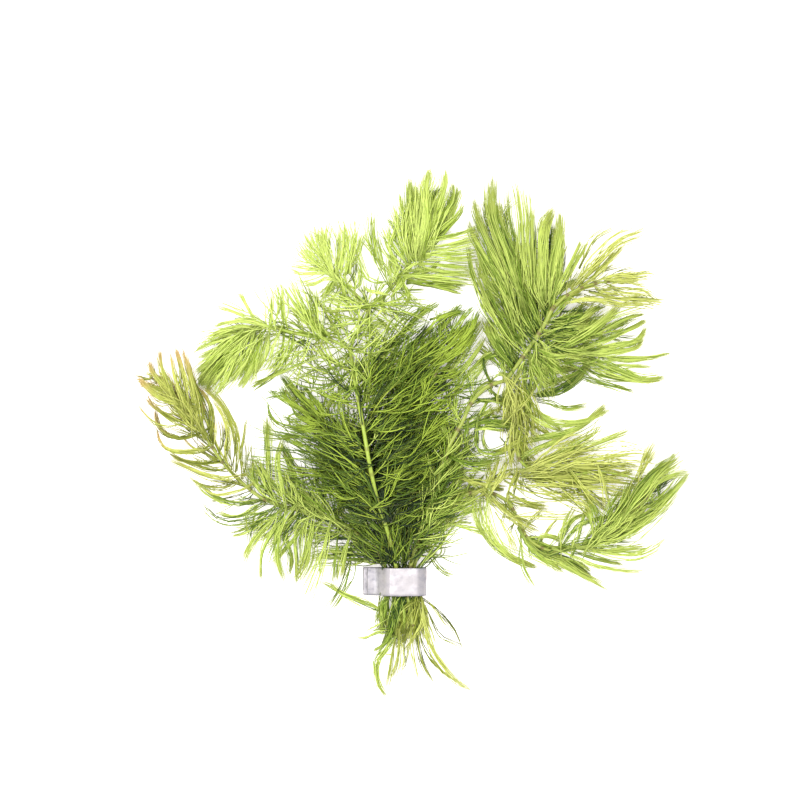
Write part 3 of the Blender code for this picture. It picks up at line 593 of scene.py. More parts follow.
            (4, -0.2, 3, 130, 9, 132, 15, 134, 19, 138), (5, 0, 0, 126, 3, 130, 6, 136))),
    "leaves_top_middle_tip": Plume(
        "branch_top_middle", (31, 54), "leaf_bright", whorls=(4, 3), length=(18, 10), opens=(40, 20),
        closes=(10, 5), clump=0.8, tone=-0.03,
        tufts=(
            (8, 0.1, 7, 142, 6, 154, 5, 164, 5, 174), (18, 0.1, 10, 143, 12, 156, 12, 167, 14, 177),
            (12, 0.1, 12, 145, 17, 158, 20, 168, 21, 177), (12, -0.1, 13, 144, 19, 156, 24, 164, 24, 171),
            (5, 0.1, 13, 143, 21, 154, 25, 162, 27.5, 169), (3, -0.1, 13, 142, 21, 151, 27, 157, 29, 162),
            (4, 0, 6, 144, 4, 154, 2, 160, 1.5, 167), (7, 0.1, 8, 144, 9, 156, 8, 164, 7, 170)),
        sheets=(
            (28, 0.15, (5, 136, 5, 149, 6, 163), (9, 138, 12, 153, 13, 170),
            (12, 139, 18, 151, 23, 165)),)),
    "leaves_inner_right_low": Plume(
        "stem_inner_right", (34, 79), "leaf_dark", whorls=(7, 6), leaves=6, length=(20, 24), opens=(80, 80),
        closes=(50, 45), sweep=(10, 0), lift=1.5, clump=0.25, tone=0.1,
        sheets=(
            (24, -0.15, (2, 9, 0, 22, -3, 36), (4, 9, 8, 23, 14, 36), (5, 24, 12, 36, 22, 48)),
            (30, -0.1, (2, 36, 12, 42, 24, 52), (2, 48, 14, 54, 27, 64), (2, 60, 14, 66, 27, 77)),
            (8, -0.1, (3, 40, 0, 52, 0, 64), (6, 54, 4, 66, 6, 78)),
            # Painted shade: two dark sheets laid low, beneath the centre stem and round this one, where
            # shadow fills the heart
            (40, -0.6, (4, 14, 10, 24, 18, 32), (2, 40, 12, 47, 22, 56), (0, 54, 11, 62, 23, 72)),
            (60, -0.5, (-15, 26, -6, 32, 4, 40), (-18, 44, -8, 50, 4, 58), (-22, 62, -11, 68, 2, 76)))),
    "leaves_inner_right_high": Plume(
        "stem_inner_right", (81, 111), "leaf_dark", whorls=(6, 5), leaves=6, length=(22, 24),
        opens=(80, 80), closes=(50, 45), sweep=(10, 0), lift=1.5, clump=0.25, tone=0.3,
        sheets=(
            (28, 0, (-4, 66, 8, 71, 21, 80), (-6, 76, 6, 82, 20, 92), (-8, 88, 4, 93, 19, 103)),
            (16, 0.05, (-10, 84, 0, 90, 12, 100), (-10, 96, 0, 102, 13, 110)),
            (9, -0.1, (8, 68, 16, 75, 24, 85), (10, 80, 19, 87, 28, 97)),
            # Painted shade: a dark sheet laid low among the others
            (36, -0.55, (-2, 64, 9, 72, 22, 84), (-2, 84, 8, 92, 20, 104)))),
    "leaves_inner_right_tip": Plume(
        "stem_inner_right", (112, 135), "leaf_dark", whorls=(4, 3), length=(18, 12), tone=0.31,
        tufts=(
            (3, 0.1, 4, 108, 10, 114, 19, 119.5), (3, 0.1, 12, 106, 18, 113, 30, 117),
            (4, 0, 14, 103, 21, 112, 27, 120), (3, 0, 0, 106, 7, 112, 14, 118),
            (2, 0, 20, 103, 27, 112, 33, 119), (8, -0.3, 4, 99, 9, 104, 15, 110),
            (4, -0.1, -2, 102, 4, 108, 9, 113), (3, 0, 14, 112, 22, 115, 30, 116),
            (4, 0.2, 18, 98, 26, 104, 31, 112), (6, 0.1, 20, 96, 28, 101, 34, 110),
            (4, 0.1, 24, 100, 31, 107, 36, 116)),
        sheets=(
            (16, -0.1, (2, 94, 8, 101, 13, 108), (10, 92, 17, 100, 22, 108), (18, 92, 25, 101, 31, 109)),)),
    "leaves_right_low": Plume(
        "stem_right", (41, 89), "leaf_mid", whorls=(8, 8), length=(16, 20), opens=(50, 60),
        over=(0.9, 0.0), clump=0.4, tone=-0.12,
        tufts=(
            (3, -0.1, 20, 50, 24, 54, 28, 60), (3, -0.1, 24, 46, 28, 52, 30, 58),
            (4, -0.3, 30, 70, 30, 62, 31, 56, 36, 52), (3, -0.3, 34, 72, 34, 63, 33, 56),
            (2, 0, 38, 68, 37, 62, 38, 58, 41, 55), (3, 0, 33, 61, 35, 56, 40, 54.5, 46, 56, 50, 58),
            (1, 0, 44, 62, 47, 58, 44, 55), (7, -0.25, 28, 66, 35, 69, 42, 69, 50, 68, 54, 67),
            (2, 0, 30, 66, 38, 67, 45, 66, 49, 66.5), (2, 0, 33, 65, 40, 65.5, 48, 64.5),
            (3, -0.1, 28, 67, 20, 70, 12, 68), (2, 0, 28, 67, 24, 74, 21, 80),
            (6, -0.1, 22, 57, 28, 52, 35, 50, 43, 51), (5, 0, 22, 54, 30, 51, 38, 51, 46, 54)),
        sheets=(
            (20, -0.05, (9, 14, 13, 24, 19, 34), (12, 26, 20, 35, 31, 43), (17, 40, 24, 49, 30, 60)),
            (12, -0.1, (16, 40, 18, 51, 22, 62), (22, 56, 22, 66, 25, 76)),
            (12, -0.5, (10, 18, 17, 26, 26, 33), (15, 40, 22, 50, 28, 62)))),
    "leaves_right_curtain": Plume(
        "stem_right", (91, 108), "leaf_mid", whorls=(12, 12), length=(20, 20), opens=(50, 50),
        closes=(20, 15), lift=-1, over=(0, 0), clump=0.8,
        tufts=(
            (4, 0, 14, 84, 22, 92, 30, 103, 37, 113), (3, 0.1, 18, 84, 25, 92, 33, 104, 38, 112),
            (3, 0.15, 20, 82, 27, 90, 34, 99, 38, 106), (3, 0.15, 22, 80, 28, 87, 35, 94, 41, 100),
            (2, 0.15, 24, 79, 30, 85, 36, 91, 41, 99), (3, -0.1, 34, 71, 37, 75, 40, 79),
            (2, 0, 32, 75, 38, 77, 44, 77, 47, 78), (2, -0.5, 42, 77.5, 47, 79),
            (1, 0, 20, 74, 25, 81, 28, 84), (2, 0, 16, 72, 20, 78, 26, 80),
            (2, 0.1, 30, 73, 33, 80, 38, 85, 44, 86), (2, 0, 37, 83, 42, 80, 46, 78),
            (2, 0, 40, 80, 40.5, 84, 41, 88), (1, 0, 43, 88, 47, 88.5, 50, 91),
            (2, 0, 37, 96, 37.5, 91, 40, 86, 44, 83), (2, 0, 40, 97, 43, 93, 49, 90),
            (1, 0, 40, 86, 45, 89, 50, 88), (2, 0, 40, 76, 36, 71, 35, 66))),
    "leaves_right_fork": Plume(
        "stem_right_upper", (0, 21), "leaf_mid", whorls=(8, 7), length=(20, 22), opens=(60, 60), lift=-1.5,
        over=(0.1, 0.1), clump=0.7, tone=-0.08,
        tufts=(
            (6, -0.2, 55, 100, 47, 107, 42, 112, 38, 118, 36, 126),
            (4, -0.1, 54, 98, 46, 104, 41, 112, 38, 119, 34, 130, 31.5, 138),
            (9, -0.2, 51, 93, 46, 99, 42, 106, 39, 113), (7, -0.1, 50, 91, 44, 98, 40, 105, 37, 113),
            (4, 0, 49, 90, 44, 93, 39, 97, 34, 101), (5, 0, 50, 98, 44, 98, 38, 96, 33, 92),
            (5, 0, 52, 92, 60, 90, 68, 89.5, 78, 91), (4, 0, 54, 95, 62, 93, 70, 91.5, 77, 92.5),
            (5, 0, 58, 100, 66, 97, 74, 97, 80, 96), (4, -0.2, 56, 98, 58, 90, 57, 82, 55, 76),
            (9, -0.3, 60, 80, 70, 83, 78, 89, 84.5, 97), (5, -0.2, 55, 84, 56, 76, 56, 68),
            (3, -0.1, 58, 80, 68, 81, 77, 86, 84, 94), (2, 0.2, 60, 78, 66, 77, 72, 74.5, 83, 75),
            (4, 0, 62, 84, 70, 86, 78, 90, 84, 95)),
        sheets=(
            (16, 0, (52, 92, 53, 84, 54, 76), (58, 102, 59, 92, 60, 82), (63, 108, 64, 98, 66, 88)),
            (10, 0, (56, 96, 64, 92, 74, 88), (60, 102, 68, 97, 78, 94)),
            (16, -0.1, (46, 85, 43, 95, 41, 108), (52, 94, 47, 104, 43, 116),
            (58, 103, 52, 112, 47, 124)))),
    "leaves_right_middle": Plume(
        "stem_right_upper", (22, 37), "leaf_mid", whorls=(8, 8), length=(20, 20), opens=(60, 55), lift=-2,
        over=(0.12, 0.12), clump=0.8, tone=-0.08,
        tufts=(
            (4, 0.15, 64, 98, 74, 102, 84, 108, 97, 119), (2, 0.1, 68, 110, 76, 112, 84, 117, 89, 119),
            (6, -0.35, 66, 100, 72, 104, 78, 109, 82, 114), (5, -0.3, 64, 102, 70, 98, 76, 100),
            (6, -0.2, 60, 106, 54, 112, 50, 120, 48, 130), (4, 0.2, 62, 110, 55, 108, 50, 112, 46, 118),
            (5, 0, 63, 112, 66, 118, 72, 122, 80, 123), (6, 0, 64, 112, 67, 120, 72, 126, 80, 129),
            (5, 0, 62, 113, 64, 122, 67, 128, 73, 132), (6, -0.1, 66, 114, 72, 120, 80, 126)),
        sheets=(
            (12, -0.1, (62, 106, 70, 108, 82, 112), (60, 102, 70, 101, 80, 103)),
            (12, -0.1, (60, 106, 58, 112, 54, 120), (66, 116, 62, 122, 58, 130)),
            (16, -0.35, (58, 100, 56, 108, 52, 118), (62, 108, 60, 116, 57, 126)),
            (16, -0.35, (62, 104, 70, 106, 80, 110), (68, 114, 75, 116, 83, 120)))),
    "leaves_right_fan": Plume(
        "branch_right_fan", (5, 58), "leaf_mid", whorls=(6, 4), length=(22, 14), opens=(40, 25),
        closes=(10, 5), lift=-0.5, over=(0, 0.7), clump=0.87, tone=0.07,
        tufts=(
            (7, 0, 50, 112, 44, 128, 37, 140, 31, 151, 30.5, 155),
            (11, 0, 52, 114, 45, 132, 38, 147, 34, 158, 33.5, 165),
            (6, -0.1, 52, 118, 44, 138, 38, 150, 35, 158), (13, 0.1, 54, 118, 46, 142, 41, 157, 41, 174.5),
            (4, -0.35, 54, 122, 44, 145, 39, 157, 38.5, 168),
            (5, 0.1, 56, 120, 50, 140, 45, 152, 42.5, 164), (2, 0.2, 57, 120, 52, 140, 48, 157, 47, 170),
            (4, 0.2, 58, 118, 54, 142, 53, 158, 50.5, 173.5),
            (3, 0.2, 59, 118, 56, 142, 56, 158, 54.5, 170.5),
            (7, 0.1, 60, 118, 57.5, 138, 58, 150, 57.5, 160),
            (3, 0, 47, 110, 39, 115, 36, 122, 32, 133, 30, 146),
            (5, 0, 46, 118, 38, 132, 35, 142, 33, 152)),
        sheets=(
            (12, -0.1, (48, 104, 42, 118, 36, 134), (52, 108, 48, 125, 44, 142),
            (58, 112, 56, 128, 55, 146)),
            (12, 0.15, (44, 118, 40, 130, 37, 143), (52, 122, 49, 133, 48, 145),
            (57, 124, 56, 136, 57, 149)))),
    "leaves_right_fan_small": Plume(
        "branch_right_fan_small", (4, 26), "leaf_mid", whorls=(6, 4), length=(18, 14), opens=(40, 20),
        closes=(10, 5), lift=-0.5, over=(0, 0.7), clump=0.87, tone=-0.05,
        tufts=(
            (7, 0, 62, 118, 61, 132, 61, 147, 63, 155, 67, 160),
            (11, 0, 63, 120, 63, 135, 64, 150, 66, 158, 67, 160.5),
            (7, 0, 64, 120, 66, 135, 68, 148, 68, 153), (9, 0.1, 65, 120, 68, 138, 70, 150, 70, 158.5),
            (5, 0.1, 66, 120, 69, 132, 71, 145, 70.5, 153), (3, 0.2, 66, 122, 69, 130, 71, 140, 73, 144),
            (4, -0.5, 59.5, 124, 59, 134, 59.2, 147), (4, 0.1, 66, 120, 71, 130, 74, 136, 79.5, 147),
            (4, 0.2, 68, 124, 74, 133, 79, 141, 82, 146)),
        sheets=(
            (10, 0, (62, 114, 60, 126, 60, 140), (67, 116, 68, 127, 69, 140)),)),
    "leaves_right_tip": Plume(
        "branch_right_tip", (8, 31), "leaf_bright", whorls=(6, 5), leaves=5, length=(18, 18),
        opens=(50, 30), closes=(25, 5), lift=-1, over=(0, 0), clump=0.6, tone=0.1, look="straw",
        tufts=(
            (2, 0.3, 78, 134, 84, 146, 89, 150, 95, 153),
            (7, 0, 74, 125, 80, 131, 88, 139, 95, 146, 105, 150, 107, 152),
            (5, 0.1, 76, 125, 84, 131, 92, 139, 98, 145), (3, 0.1, 78, 127, 83, 132, 86, 137, 90, 141),
            (3, 0.3, 84, 128, 94, 130.5, 102, 130, 106, 131, 112, 130),
            (2, 0.2, 88, 128, 95, 131.5, 102, 133), (2, 0.3, 88, 127, 97, 129, 104, 127.5, 109, 127),
            (2, 0.3, 90, 126, 98, 126, 106, 125, 110, 122, 114, 120),
            (2, 0.3, 88, 125, 98, 123, 107, 123, 110, 122),
            (4, 0.2, 82, 124, 94, 121, 105, 121, 113, 119.8, 118, 119.7),
            (4, 0.2, 80, 122, 92, 119.5, 102, 119, 112, 119), (3, 0.3, 85, 126, 90, 124, 96, 123),
            (3, 0.1, 70, 119, 79, 121, 88, 120.5, 95, 119), (3, 0.5, 86, 128, 94, 129.5, 104, 130.5),
            (4, 0, 70, 120, 76, 124, 82, 127, 88, 129))),
    "leaves_right_side": Plume(
        "branch_right_side", (6, 33), "leaf_mid", whorls=(6, 5), leaves=6, length=(18, 16), opens=(50, 30),
        closes=(20, 5), lift=-1, over=(0, 0.7), clump=0.88, tone=0.07,
        tufts=(
            (1, 0.2, 74, 104, 84, 109, 94, 114, 108, 118), (4, 0, 78, 104, 88, 107, 97, 112, 107, 115),
            (9, 0, 80, 101, 90, 104, 100, 108, 107.3, 112),
            (12, 0.1, 82, 99, 93, 101, 103, 103.5, 107, 109),
            (8, 0.15, 84, 98, 94, 98.5, 102, 100, 106, 104), (3, 0.2, 88, 96, 98, 95.5, 108, 96, 118, 98),
            (2, 0.2, 88, 96, 97, 94.5, 104, 95, 112, 96.5), (2, 0.3, 86, 93, 94, 94.5, 100, 95),
            (2, 0.4, 86, 94, 92, 91, 98, 92, 110, 92.5),
            (13, 0.05, 82, 94, 91, 91, 100, 88, 106, 86.3, 115, 87.5),
            (9, 0.1, 80, 92, 90, 89, 98, 87, 108, 86.3), (4, 0.1, 76, 89, 84, 86.5, 92, 84, 102, 81),
            (3, 0.1, 72, 112, 80, 114, 86, 116.5, 90, 118.5), (2, 0.1, 70, 98, 78, 104, 86, 110, 96, 118),
            (2, 0, 80, 96, 84, 97.5, 88, 96), (2, 0, 82, 94, 86, 95, 88, 98)),
        sheets=(
            (26, 0, (66, 112, 74, 113, 82, 115), (67, 105, 78, 108, 88, 111), (68, 100, 78, 100, 90, 103),
             (68, 94, 76, 93, 86, 93)),)),
    "leaves_hanging": Plume(
        "branch_hanging", (5, 35), "leaf_bright", whorls=(8, 8), length=(12, 14), opens=(40, 50),
        closes=(20, 20), clump=0.7, tone=-0.18, look="straw",
        tufts=(
            (3, 0.2, 48, 85, 46, 81, 46, 76), (2, 0, 48, 74, 44, 77, 40, 79),
            (2, 0, 48, 73, 42, 74, 38, 70, 35, 66), (1, 0, 48, 70, 44, 66, 42, 70, 40, 75),
            (3, 0, 56, 70, 62, 65, 68, 61), (2, 0.1, 56, 66, 61, 62, 66, 61),
            (3, 0, 52, 60, 46, 56, 40, 55), (3, 0, 54, 76, 58, 80, 60, 86)),
        sheets=(
            (18, 0.05, (46, 86, 47, 76, 49, 64), (50, 86, 51, 74, 53, 60), (55, 84, 56, 72, 57, 58)),
            (8, 0.1, (49, 68, 50, 60, 52, 50), (54, 68, 56, 58, 60, 50)))),
    "leaves_hanging_reach": Plume(
        "branch_hanging", (16, 35), "leaf_mid", leaves=0, clump=0.9,
        tufts=(
            (4, 0, 58, 74, 65, 69, 76, 68, 84, 70, 90, 76),
            (3, 0, 57, 73, 65, 68.5, 72, 67.5, 80, 69, 92, 74),
            (9, -0.1, 54, 60, 64, 62, 74, 64, 82, 68.5, 90, 76), (2, 0.2, 58, 71, 66, 66, 70, 64.5),
            (2, 0.2, 56, 76, 63, 71, 68, 67, 72, 64), (4, 0, 56, 49, 70, 54, 78, 60, 84, 63, 87.5, 68),
            (3, 0, 66, 52, 80, 57, 91, 61, 101, 65), (7, -0.2, 53, 53, 62, 57, 70, 61, 76, 64))),
    "leaves_hanging_band": Plume(
        "branch_hanging_band", (2, 53), "leaf_bright", whorls=(9, 7), leaves=4, length=(14, 10),
        opens=(40, 30), closes=(15, 5), clump=0.4, tone=0.02, look="straw",
        tufts=(
            (9, 0.1, 53, 47, 62, 49, 70, 50, 80, 49, 90, 48, 102, 45.5),
            (9, 0.1, 58, 45, 70, 44, 82, 43, 94, 42.5, 106, 41), (9, 0, 55, 50, 64, 47, 74, 46, 86, 46.5),
            (6, 0, 54, 46, 62, 44, 70, 46, 78, 48), (3, 0, 58, 50, 66, 54, 76, 56, 84, 58),
            (5, 0, 58, 49, 68, 53, 76, 56, 82, 59), (4, 0.2, 70, 48, 80, 52, 90, 53, 100, 55, 110, 54),
            (3, 0.2, 74, 47, 84, 50, 94, 51, 104, 50), (3, -0.1, 52, 43, 60, 38, 70, 38, 82, 38.5),
            (2, 0, 50, 41, 58, 37, 68, 37, 78, 37.5, 88, 36), (3, -0.3, 74, 48, 76, 43, 80, 41, 84, 43),
            (5, -0.2, 76, 45, 82, 38, 87, 32.5, 92.5, 28.5), (4, -0.1, 72, 41, 80, 39, 85, 35, 90, 31),
            (2, 0, 86, 48, 88, 42, 90, 35, 92.5, 29), (2, 0, 84, 46, 88, 44, 94, 44),
            (1, 0, 88, 36, 95, 35, 99, 35), (1, 0, 89, 42, 90, 38, 94, 37, 98, 39),
            (1, 0.4, 84, 56, 92, 58, 101, 58, 108, 56), (4, 0.3, 102, 42, 104, 47, 107, 54, 110.5, 60),
            (2, 0.2, 104, 43, 107, 50, 111, 56), (2, 0.1, 72, 38, 77, 33, 82, 29, 80, 24),
            (3, 0, 50, 37, 56, 34, 64, 32), (2, 0.2, 62, 17, 65, 23, 69, 27.5)),
        sheets=(
            (14, 0.05, (54, 50, 66, 55, 82, 60), (54, 46, 70, 48, 90, 50), (54, 43, 68, 42, 86, 43)),)),
    "leaves_lower_right_root": Plume(
        "stem_lower_right", (38, 73), "leaf_mid", whorls=(10, 8), leaves=5, length=(10, 15), opens=(40, 60),
        clump=0.5,
        tufts=(
            (2, 0, 18, 23, 27, 25.5, 33, 25), (4, 0, 22, 26, 30, 30, 38, 32),
            (3, 0.1, 26, 24, 33, 22, 40, 20), (4, -0.2, 6, 6, 10, 11, 14, 17),
            (3, -0.2, 8, 5, 13, 9, 17, 13), (2, 0, 14, 14, 17, 7, 20, 3.5, 24.5, 1.5),
            (2, 0.1, 12, 10, 17, 17, 22, 24, 27, 28), (2, 0, 15, 12, 20, 18, 19, 24),
            (4, 0.1, 18, 27, 26, 31, 32, 34, 37, 38), (2, 0.2, 14, 20, 20, 26, 28, 33, 34, 36),
            (4, 0, 18, 35, 28, 38.5, 36, 39), (4, 0.1, 17, 30, 24, 36, 30, 39.5),
            (3, 0.1, 36, 38.5, 30, 44, 24, 50), (2, 0, 28, 47, 36, 47.5), (2, 0, 31, 46.5, 34, 43, 38, 45),
            (3, 0, 22, 44, 30, 44, 38, 42)),
        sheets=(
            (9, 0.1, (8, 8, 12, 16, 17, 25), (13, 18, 19, 26, 27, 34), (18, 30, 26, 35, 37, 39)),)),
    "leaves_lower_right_bend": Plume(
        "stem_lower_right", (74, 100), "leaf_bright", whorls=(10, 10), leaves=5, length=(12, 12),
        opens=(60, 65), clump=0.6, look="straw",
        tufts=(
            (3, 0.1, 38, 40, 42, 47, 44, 55), (3, 0.1, 40, 39, 45, 46, 48, 54),
            (3, 0.1, 47, 33, 48, 40, 51, 46, 51, 52), (2, 0, 50, 36, 50.5, 42, 52, 48),
            (3, 0.1, 44, 36, 50, 34, 58, 32, 66, 31), (5, -0.1, 34, 39, 40, 43, 47, 46, 56, 45),
            (4, 0, 36, 38, 42, 34, 48, 31), (2, 0, 50, 37, 54, 34, 60, 31),
            (5, -0.2, 38, 39, 44, 32, 52, 26, 62, 21), (2, 0, 44, 27, 48, 20, 51, 12),
            (4, 0.1, 30, 43, 36, 41.5, 46, 40), (3, -0.4, 40, 39.5, 46, 39.5),
            (2, 0.1, 49, 27, 48, 33, 47, 38), (2, 0, 53, 21, 57, 26, 63, 31),
            (2, 0, 50, 28, 60, 28, 70, 27.5, 79, 27.5), (3, 0, 38, 40, 40, 47, 38, 54),
            (3, 0.1, 36, 39, 42, 42, 50, 48))),
    "leaves_lower_right_arc": Plume(
        "stem_lower_right", (66, 74), "leaf_mid", leaves=0, clump=0.85,
        tufts=(
            (4, 0.1, 33, 38, 33, 30, 36, 22, 42, 14), (4, -0.05, 36, 37, 36, 27, 40, 19, 46, 12, 60, 5.5),
            (2, 0.1, 39, 36, 38.5, 26, 40, 19, 44, 14, 50, 9.5, 58, 6),
            (3, -0.35, 41, 16, 48, 10, 54, 7.5, 60, 5.5))),
    "leaves_lower_right_turn": Plume(
        "stem_lower_right_tip", (1, 26), "leaf_mid", whorls=(9, 8), leaves=4, length=(12, 16),
        opens=(50, 50), clump=0.85, tone=0.05,
        tufts=(
            (2, 0.2, 53, 20, 53.5, 12, 55, 5, 60, -3.5), (5, 0, 53, 20, 57, 13, 63, 9, 72, 4),
            (6, 0, 55, 18, 62, 11, 70, 8, 78, 3, 84, 0, 91, -4), (7, -0.25, 57, 16, 66, 11, 75, 8, 84, 2),
            (4, 0, 60, 14, 70, 11, 77, 8.5, 83, 5), (3, 0.2, 70, 13, 79, 10, 86, 7, 96, 5, 107, 4.5),
            (3, 0.2, 75, 13, 84, 10, 92, 8, 98, 6.5), (9, 0, 54, 20, 60, 16.5, 68, 14, 76, 15),
            (4, 0, 70, 14, 71, 20, 76, 27, 82, 29), (4, 0, 71, 15, 75, 21, 80, 25, 93, 28),
            (2, 0, 70, 15, 70, 21, 72, 26, 76, 32), (3, 0, 76, 15, 78, 22, 80, 28, 83, 33),
            (2, 0.1, 58, 18, 65, 19, 70, 17), (2, 0.1, 60, 16, 62, 19.5, 66, 19.5, 71, 18),
            (5, 0, 68, 13, 76, 16, 86, 19, 94, 22))),
    "leaves_lower_right_tip": Plume(
        "stem_lower_right_tip", (27, 70), "leaf_mid", whorls=(6, 4), length=(18, 12), opens=(50, 30),
        closes=(15, 5), clump=0.7, tone=0.0,
        tufts=(
            (3, 0.3, 78, 14, 88, 12, 96, 11, 104, 11, 112, 15, 116, 19),
            (3, 0.2, 80, 15, 90, 13, 100, 13.5, 108, 14.5),
            (4, 0.1, 80, 15, 92, 17, 102, 21, 110, 28, 121, 41), (12, -0.6, 86, 17, 94, 20, 104, 27),
            (3, 0, 84, 17, 84, 25, 82, 31, 82, 38), (3, 0, 88, 18, 86, 26, 83, 34, 80, 40),
            (3, 0, 82, 16, 88, 22, 93, 28, 95, 34),
            (11, -0.3, 97, 28, 106, 40, 112, 47, 119, 52, 122, 54.5),
            (6, -0.15, 95, 28, 101, 37, 108, 46, 116, 52), (3, 0.1, 104, 36, 113, 43, 119, 46, 126.5, 47.5),
            (5, 0.1, 98, 25, 108, 30, 116, 36, 126.5, 47.5), (5, 0.2, 90, 20, 102, 24, 112, 31, 120, 41),
            (3, -0.3, 112, 43, 112, 38, 113.5, 34), (5, 0, 90, 23, 96, 33, 100, 43),
            (5, 0.1, 92, 23, 99, 34, 106, 44)),
        sheets=(
            (30, 0, (80, 15, 90, 19, 102, 26), (86, 18, 97, 27, 109, 36), (90, 22, 98, 33, 105, 44)),)),
    "leaves_tail_left": Plume(
        "stem_left", (0, 14), "leaf_dark", leaves=0, lift=4.2, over=(0, 0), clump=0.9, tone=-0.05,
        look="mid",
        tufts=(
            (4, 0.2, -4, -13.5, -10, -11.5, -16, -9, -23, -6, -28, -2.5, -33, -0.5),
            (1, 0.1, -4, -13, -12, -9.5, -20, -7, -27, -3),
            (0, 0.1, -4, -16, -8, -18, -12, -20, -14, -20.5),
            (3, 0.1, -3, -21.5, -9, -22, -13, -24, -15, -25), (0, 0.0, -3, -20, -7, -20.3, -11, -21.5),
            (0, 0.2, -9, -22.5, -18, -24.7), (2, -0.2, -4, -6, -7, -12, -9, -17),
            # Painted shadow of the strip: the tufts darkened to -0.5 and below, from here on, lie just
            # beneath it
            (1, 0.0, -4, -7, -7, -9, -8, -10.5), (14, -0.75, 3.5, -5, 1.5, -13, -1.5, -20, -5, -27),
            (10, -0.75, 1.5, -6, -0.5, -14, -3, -21, -6, -28),
            (3, -0.5, -1, -16, -3, -22, -6, -27, -11, -30.5), (0, -0.1, -3, -26, -6, -30, -10, -32.5),
            (6, 0.0, -1, -23, -5, -29, -8.3, -34, -8.6, -40, -7.5, -45, -4, -50),
            (0, 0.1, -5, -31, -3, -31.2, -1.5, -30.5), (2, -0.3, -4, -8, -5, -12, -5.5, -17),
            (7, -0.85, 7, -4, 6, -9, 4, -15), (5, -0.85, 4, -4, 3, -9, 1, -15),
            (3, -0.6, 9.5, -5, 8.5, -10, 7, -15)),
        sheets=(
            # Painted shadow of the strip: a darkened sheet just beneath it
            (14, -0.4, (-6, -5, -7, -11, -6, -18), (-2, -5, -2, -14, -4, -23), (4, -5, 2, -14, -1, -24)),)),
    "leaves_tail_right": Plume(
        "stem_lower_right", (0, 13), "leaf_bright", leaves=0, lift=3.5, over=(0, 0), clump=0.9, tone=-0.14,
        look="straw",
        tufts=(
            # Painted shadow of the strip: the two tufts darkened to -0.7 and below lie just beneath it
            (1, 0.1, 0, -20, -2, -32, -3, -39, -4.5, -47), (9, -0.85, 3.5, -4, 2, -10, 0, -17),
            (5, -0.7, 6.5, -4, 6, -9, 5, -14), (2, 0.1, 1, -20, 0, -32, -1, -37, -3, -42),
            (0, 0.3, 2, -22, 1.5, -34, 0, -40, -1, -45), (0, 0.1, 4, -20, 3, -31, 4, -35, 1, -39),
            (0, 0.1, 6, -18, 5, -30, 4, -34, 2, -36), (0, 0.3, 6, -18, 7, -30, 8.5, -38, 10, -43),
            (2, -0.2, 8, -16, 9, -28, 11, -35, 13, -39, 16, -44),
            (3, 0.2, 10, -6, 11.5, -14, 13, -22, 15, -29, 18, -34, 23, -40, 28, -45, 33, -47.5),
            (1, -0.1, 9, -16, 11, -27, 15, -34, 21, -40, 29, -46),
            (1, 0.2, 10, -20, 16, -31, 20, -37, 22, -40),
            (1, 0.1, 9, -6, 14, -8.5, 19, -13, 23, -18, 25.5, -22, 28, -28.5),
            (0, 0.1, 12, -7.5, 16, -11, 19, -16, 22, -20), (0, -0.1, 11, -12, 14, -19, 17, -27),
            (0, 0.1, 12, -11, 16, -18, 19, -23, 25, -26, 31, -29), (0, 0.1, 12, -10, 15, -17, 18, -22),
            (2, 0.25, 9.5, -6, 8, -15, 4, -23, -1, -29), (1, 0.4, 5, -6, 3, -14, 1, -20, -2, -27),
            (1, 0.3, 11, -8, 11, -16, 7, -24, 2, -31)),
        sheets=(
            (13, -0.2, (7, -5, 5, -16, 2, -27), (9, -5, 8, -16, 7, -26), (10, -5, 10, -15, 9.5, -24)),)),
}


def length_property(name, default, low, high, description):
    """A small length that a user can set. The numbers are in mm."""
    return FloatProperty(
        name=name, description=description, default=default * MM, min=low * MM, max=high * MM,
        subtype="DISTANCE", unit="LENGTH", precision=5)


def share_property(name, default, low, high, description):
    """A share of another size that a user can set."""
    return FloatProperty(
        name=name, description=description, default=default, min=low, max=high, subtype="FACTOR")


def colour_property(name, colour, description):
    """A colour that a user can set, as linear red, green and blue."""
    return FloatVectorProperty(
        name=name, description=description, subtype="COLOR", size=3, min=0.0, max=1.0, default=colour)


class HornwortLeafSettings(bpy.types.PropertyGroup):
    seed: IntProperty(name="Seed", description="Start of the random draws", default=7)
    strand_width: length_property("Strand width", 0.44, 0.1, 2, "Width of a leaf segment near its base")
    strand_flatness: share_property(
        "Flatness", 0.6, 0.2, 1.0, "Thickness of a segment as a share of its width")
    rise: share_property(
        "Rise", 0.55, 0.0, 1.0, "Spread of the leaves up and down, as a share of their spread sideways")
    droop: share_property(
        "Droop", 0.25, 0.0, 1.0, "Fall of a leaf's tip under its own weight, as a share of its length")


for look, (leaves, *colours) in LEAF_COLOURS.items():
    for (part, words), colour in zip(LEAF_PARTS.items(), colours):
        HornwortLeafSettings.__annotations__[f"{look}_{part}"] = colour_property(
            f"{look.capitalize()} {part}", colour, f"{words} of the {leaves} leaves")


